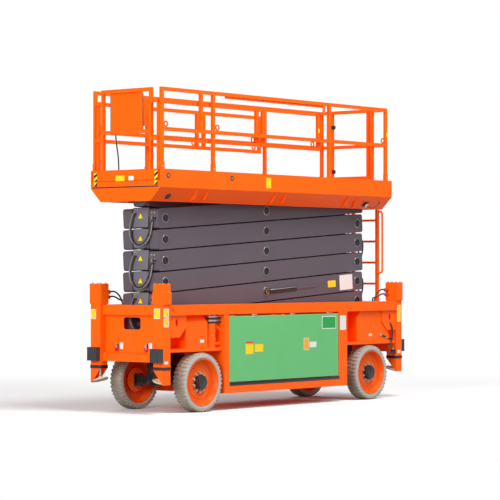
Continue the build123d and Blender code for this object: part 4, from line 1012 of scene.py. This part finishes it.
gate_x, gate_y = (low("gate").x + high("gate").x) / 2, 0.385
bm = bmesh.new()
for z in (3.037, 3.640):
    spot = Vector((gate_x + 0.006, gate_y, z))
    add_studs(bm, spot - Y * 0.010, Z, (-0.030, 0.030, 0.034, 24, 0.003))
    add_studs(bm, spot, -Y, (0.030, 0.072, 0.028, 20, 0.002))
finish_piece("gate_knobs", bm, [black_plastic], "platform")

cable = [
    (-2.366, 0.228, 3.395), (-2.356, 0.229, 3.385), (-2.345, 0.232, 3.330), (-2.330, 0.230, 3.200),
    (-2.318, 0.216, 3.080), (-2.310, 0.214, 2.980), (-2.304, 0.218, 2.860), (-2.300, 0.222, 2.762),
]
add_hose("panel_cable", cable, 0.0085, "extension")


# %% [markdown]
# The control station is held by the extension's front rail. Its box faces the operator: a joystick under
# a rubber boot, a red stop button on a yellow plate and a row of six switches. These small controls are
# pieces of the scene alone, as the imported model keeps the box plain.

# %% Controls
panel_low, panel_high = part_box("control_box")
box_middle = Vector((panel_high.x, panel_low.y + 0.330 / 2, 3.640))
stop, stick = box_middle + Y * 0.077, box_middle + Vector((0, -0.043, 0.028))
bm = bmesh.new()
add_block(bm, box_middle + X * 0.0010, (0.250, 0.150, 0.003), 0.001, Y, Z, 1)
add_block(bm, stop + X * 0.0022, (0.070, 0.070, 0.003), 0.001, Y, Z, 3)
add_studs(bm, stop, X, (0, 0.020, 0.012, 24, 0.001, 1), (0.018, 0.034, 0.020, 24, 0.004, 2))
for n in range(6):
    switch = box_middle + Vector((0, -0.103 + 0.024 * n, -0.040))
    add_studs(bm, switch, X, (0, 0.010, 0.0075, 16, 0.001))
    add_bar(bm, switch + X * 0.008, switch + Vector((0.024, 0, 0.006)), 0.0025, 12, 0.0, 4)
add_studs(bm, stick, X, (0, 0.012, 0.030, 24, 0.002), (0.010, 0.036, 0.024, 24, 0.001, 0, 0.010))
add_bar(bm, stick + X * 0.030, stick + Vector((0.100, 0, 0.006)), 0.008, 16, 0.001)
add_bar(bm, stick + Vector((0.090, 0, 0.005)), stick + Vector((0.125, 0, 0.008)), 0.016, 24, 0.005)
control_colours = [black_plastic, dark_casting, red_plastic, yellow_vinyl, zinc]
finish_piece("control_switches", bm, control_colours, "extension")

# %% [markdown]
# The rails' small hardware: a plated lock pin with a hexagon collar through each post's foot, a bracket
# with two bolts where the extension's rail meets the fixed one, yellow tags on two posts and the black
# edging on the sides of the control panel.

# %% Rail hardware
post_x = [-2.375, -1.445, 0.866, 2.103]
bm = bmesh.new()
for x in post_x:
    for s in side_of.values():
        foot = Vector((x, 0, 2.925))
        add_studs(bm, foot, Y * s, (0.503, 0.5575, 0.0065, 16, 0.001), (0.5515, 0.5595, 0.0120, 6, 0.001))
finish_piece("post_lock_pins", bm, [zinc], "platform")

bm = bmesh.new()
for s in side_of.values():
    add_block(bm, (0.735, s * 0.5520, 3.7610), (0.050, 0.012, 0.122), 0.003)
    for z in (3.722, 3.762):
        add_studs(bm, Vector((0.735, 0, z)), Y * s, (0.5570, 0.5600, 0.0090, 6, 0.0005, 1))
finish_piece("rail_link_brackets", bm, [orange_coat, zinc], "platform")

tags = (("platform", 2.103, "guardrails", 3.508), ("extension", 0.690, "extension_rails", 3.493))
for body, x, rails, z in tags:
    label_piece(f"post_tag_{body}", body, [((x, low(rails).y, z), (0.030, 0.052), X, 0.0, YELLOW, YELLOW)])

bm = bmesh.new()
for y in (panel_low.y - 0.001, panel_high.y + 0.001):
    edge = Vector((panel_low.x + 0.003, y, 0))
    add_studs(bm, edge, Z, (panel_low.z + 0.024, panel_high.z - 0.024, 0.0052, 12, 0.001))
finish_piece("panel_edging", bm, [black_plastic], "extension")

# %% [markdown]
# The studio is plain: a wide pale floor, an even pale sky and large soft lamps, so that a colour renders
# about as it is written. The floor near the machine keeps its shadow. Further out it turns to plain
# white for the camera and for reflections, chosen with Light Path, so no horizon shows behind the lift.
# Its underside is clear, so that a view from below shows the machine.

# %% Floor and background
floor_paint, tree, shader, place = new_material("pale studio floor", Roughness=0.85)
tone = mix(tree, noise(tree, place, 350.0, Detail=3.0), "#F8F8F8", "#FBFBFB")
path = add_node(tree, "LightPath").outputs
seen = calculate(tree, "MAXIMUM", path["Is Camera Ray"], path["Is Glossy Ray"])
seen = calculate(tree, "MAXIMUM", seen, path["Is Transmission Ray"])
tree.links.new(mix(tree, seen, "#8C8C8C", tone), shader["Base Color"])
flat = add_node(tree, "VectorMath", {0: place, 1: (1.0, 1.0, 0.0)}, operation="MULTIPLY")
reach = add_node(tree, "VectorMath", {0: flat.outputs[0]}, operation="LENGTH").outputs["Value"]
fade = remap(tree, reach, 4.0, 9.0, interpolation_type="SMOOTHSTEP")
share = calculate(tree, "MULTIPLY", seen, fade)
white = add_node(tree, "Emission", {"Color": (1.0, 1.0, 1.0, 1.0), "Strength": 1.0})
principled = next(n for n in tree.nodes if n.type == "BSDF_PRINCIPLED")
mixed = add_node(tree, "MixShader", {"Fac": share, 1: principled.outputs["BSDF"], 2: white.outputs[0]})
back = add_node(tree, "NewGeometry").outputs["Backfacing"]
clear = add_node(tree, "BsdfTransparent")
mixed = add_node(tree, "MixShader", {"Fac": back, 1: mixed.outputs[0], 2: clear.outputs[0]})
output = next(n for n in tree.nodes if n.type == "OUTPUT_MATERIAL")
tree.links.new(mixed.outputs[0], output.inputs["Surface"])

bm = bmesh.new()
bmesh.ops.create_circle(bm, cap_ends=True, segments=96, radius=70.0, matrix=Matrix.Identity(4))
floor_mesh = bpy.data.meshes.new("studio_floor")
bm.to_mesh(floor_mesh)
bm.free()
floor_mesh.materials.append(floor_paint)
studio_floor = bpy.data.objects.new("studio_floor", floor_mesh)
bpy.context.scene.collection.objects.link(studio_floor)

world = bpy.data.worlds.new("studio")
bpy.context.scene.world = world
world.use_nodes = True
tree = world.node_tree
tree.nodes.clear()
path = add_node(tree, "LightPath").outputs
seen = calculate(tree, "MAXIMUM", path["Is Camera Ray"], path["Is Transmission Ray"])
sky = add_node(tree, "Background", {"Color": (1.0, 1.0, 1.0, 1.0), "Strength": 0.30})
backdrop = add_node(tree, "Background", {"Color": (1.0, 1.0, 1.0, 1.0), "Strength": 1.0})
mixed = add_node(tree, "MixShader", {"Fac": seen, 1: sky.outputs[0], 2: backdrop.outputs[0]})
add_node(tree, "OutputWorld", {"Surface": mixed.outputs[0]})
print("stage ready")

# %% [markdown]
# Four lamps light the machine: a key lamp from the front, which lights the fascia and the front frame,
# a strong one high above the near side, a weaker one on the long side, and one behind for the rear.
# Large lamps far away give soft shadow edges, as the soft light in the photograph does.

# %% Lamps
def add_lamp(name, place, target, size, power):
    data = bpy.data.lights.new(name, "AREA")
    data.shape = "SQUARE"
    data.size = size
    data.energy = power
    lamp = bpy.data.objects.new(name, data)
    bpy.context.scene.collection.objects.link(lamp)
    lamp.location = place
    lamp.rotation_euler = (Vector(target) - Vector(place)).to_track_quat("-Z", "Y").to_euler()


add_lamp("key_lamp", (-13.0, -3.0, 5.0), (0, 0, 1.8), 6.0, 1230)
add_lamp("top_lamp", (-1.0, -6.5, 13.5), (0, 0, 1.0), 6.0, 1650)
add_lamp("side_lamp", (4.0, -12.0, 9.0), (0, 0, 1.6), 6.0, 470)
add_lamp("rear_lamp", (10.0, 8.0, 7.0), (0, 0, 1.6), 6.0, 350)

# %% Finish
bpy.context.scene.view_settings.view_transform = "Standard"
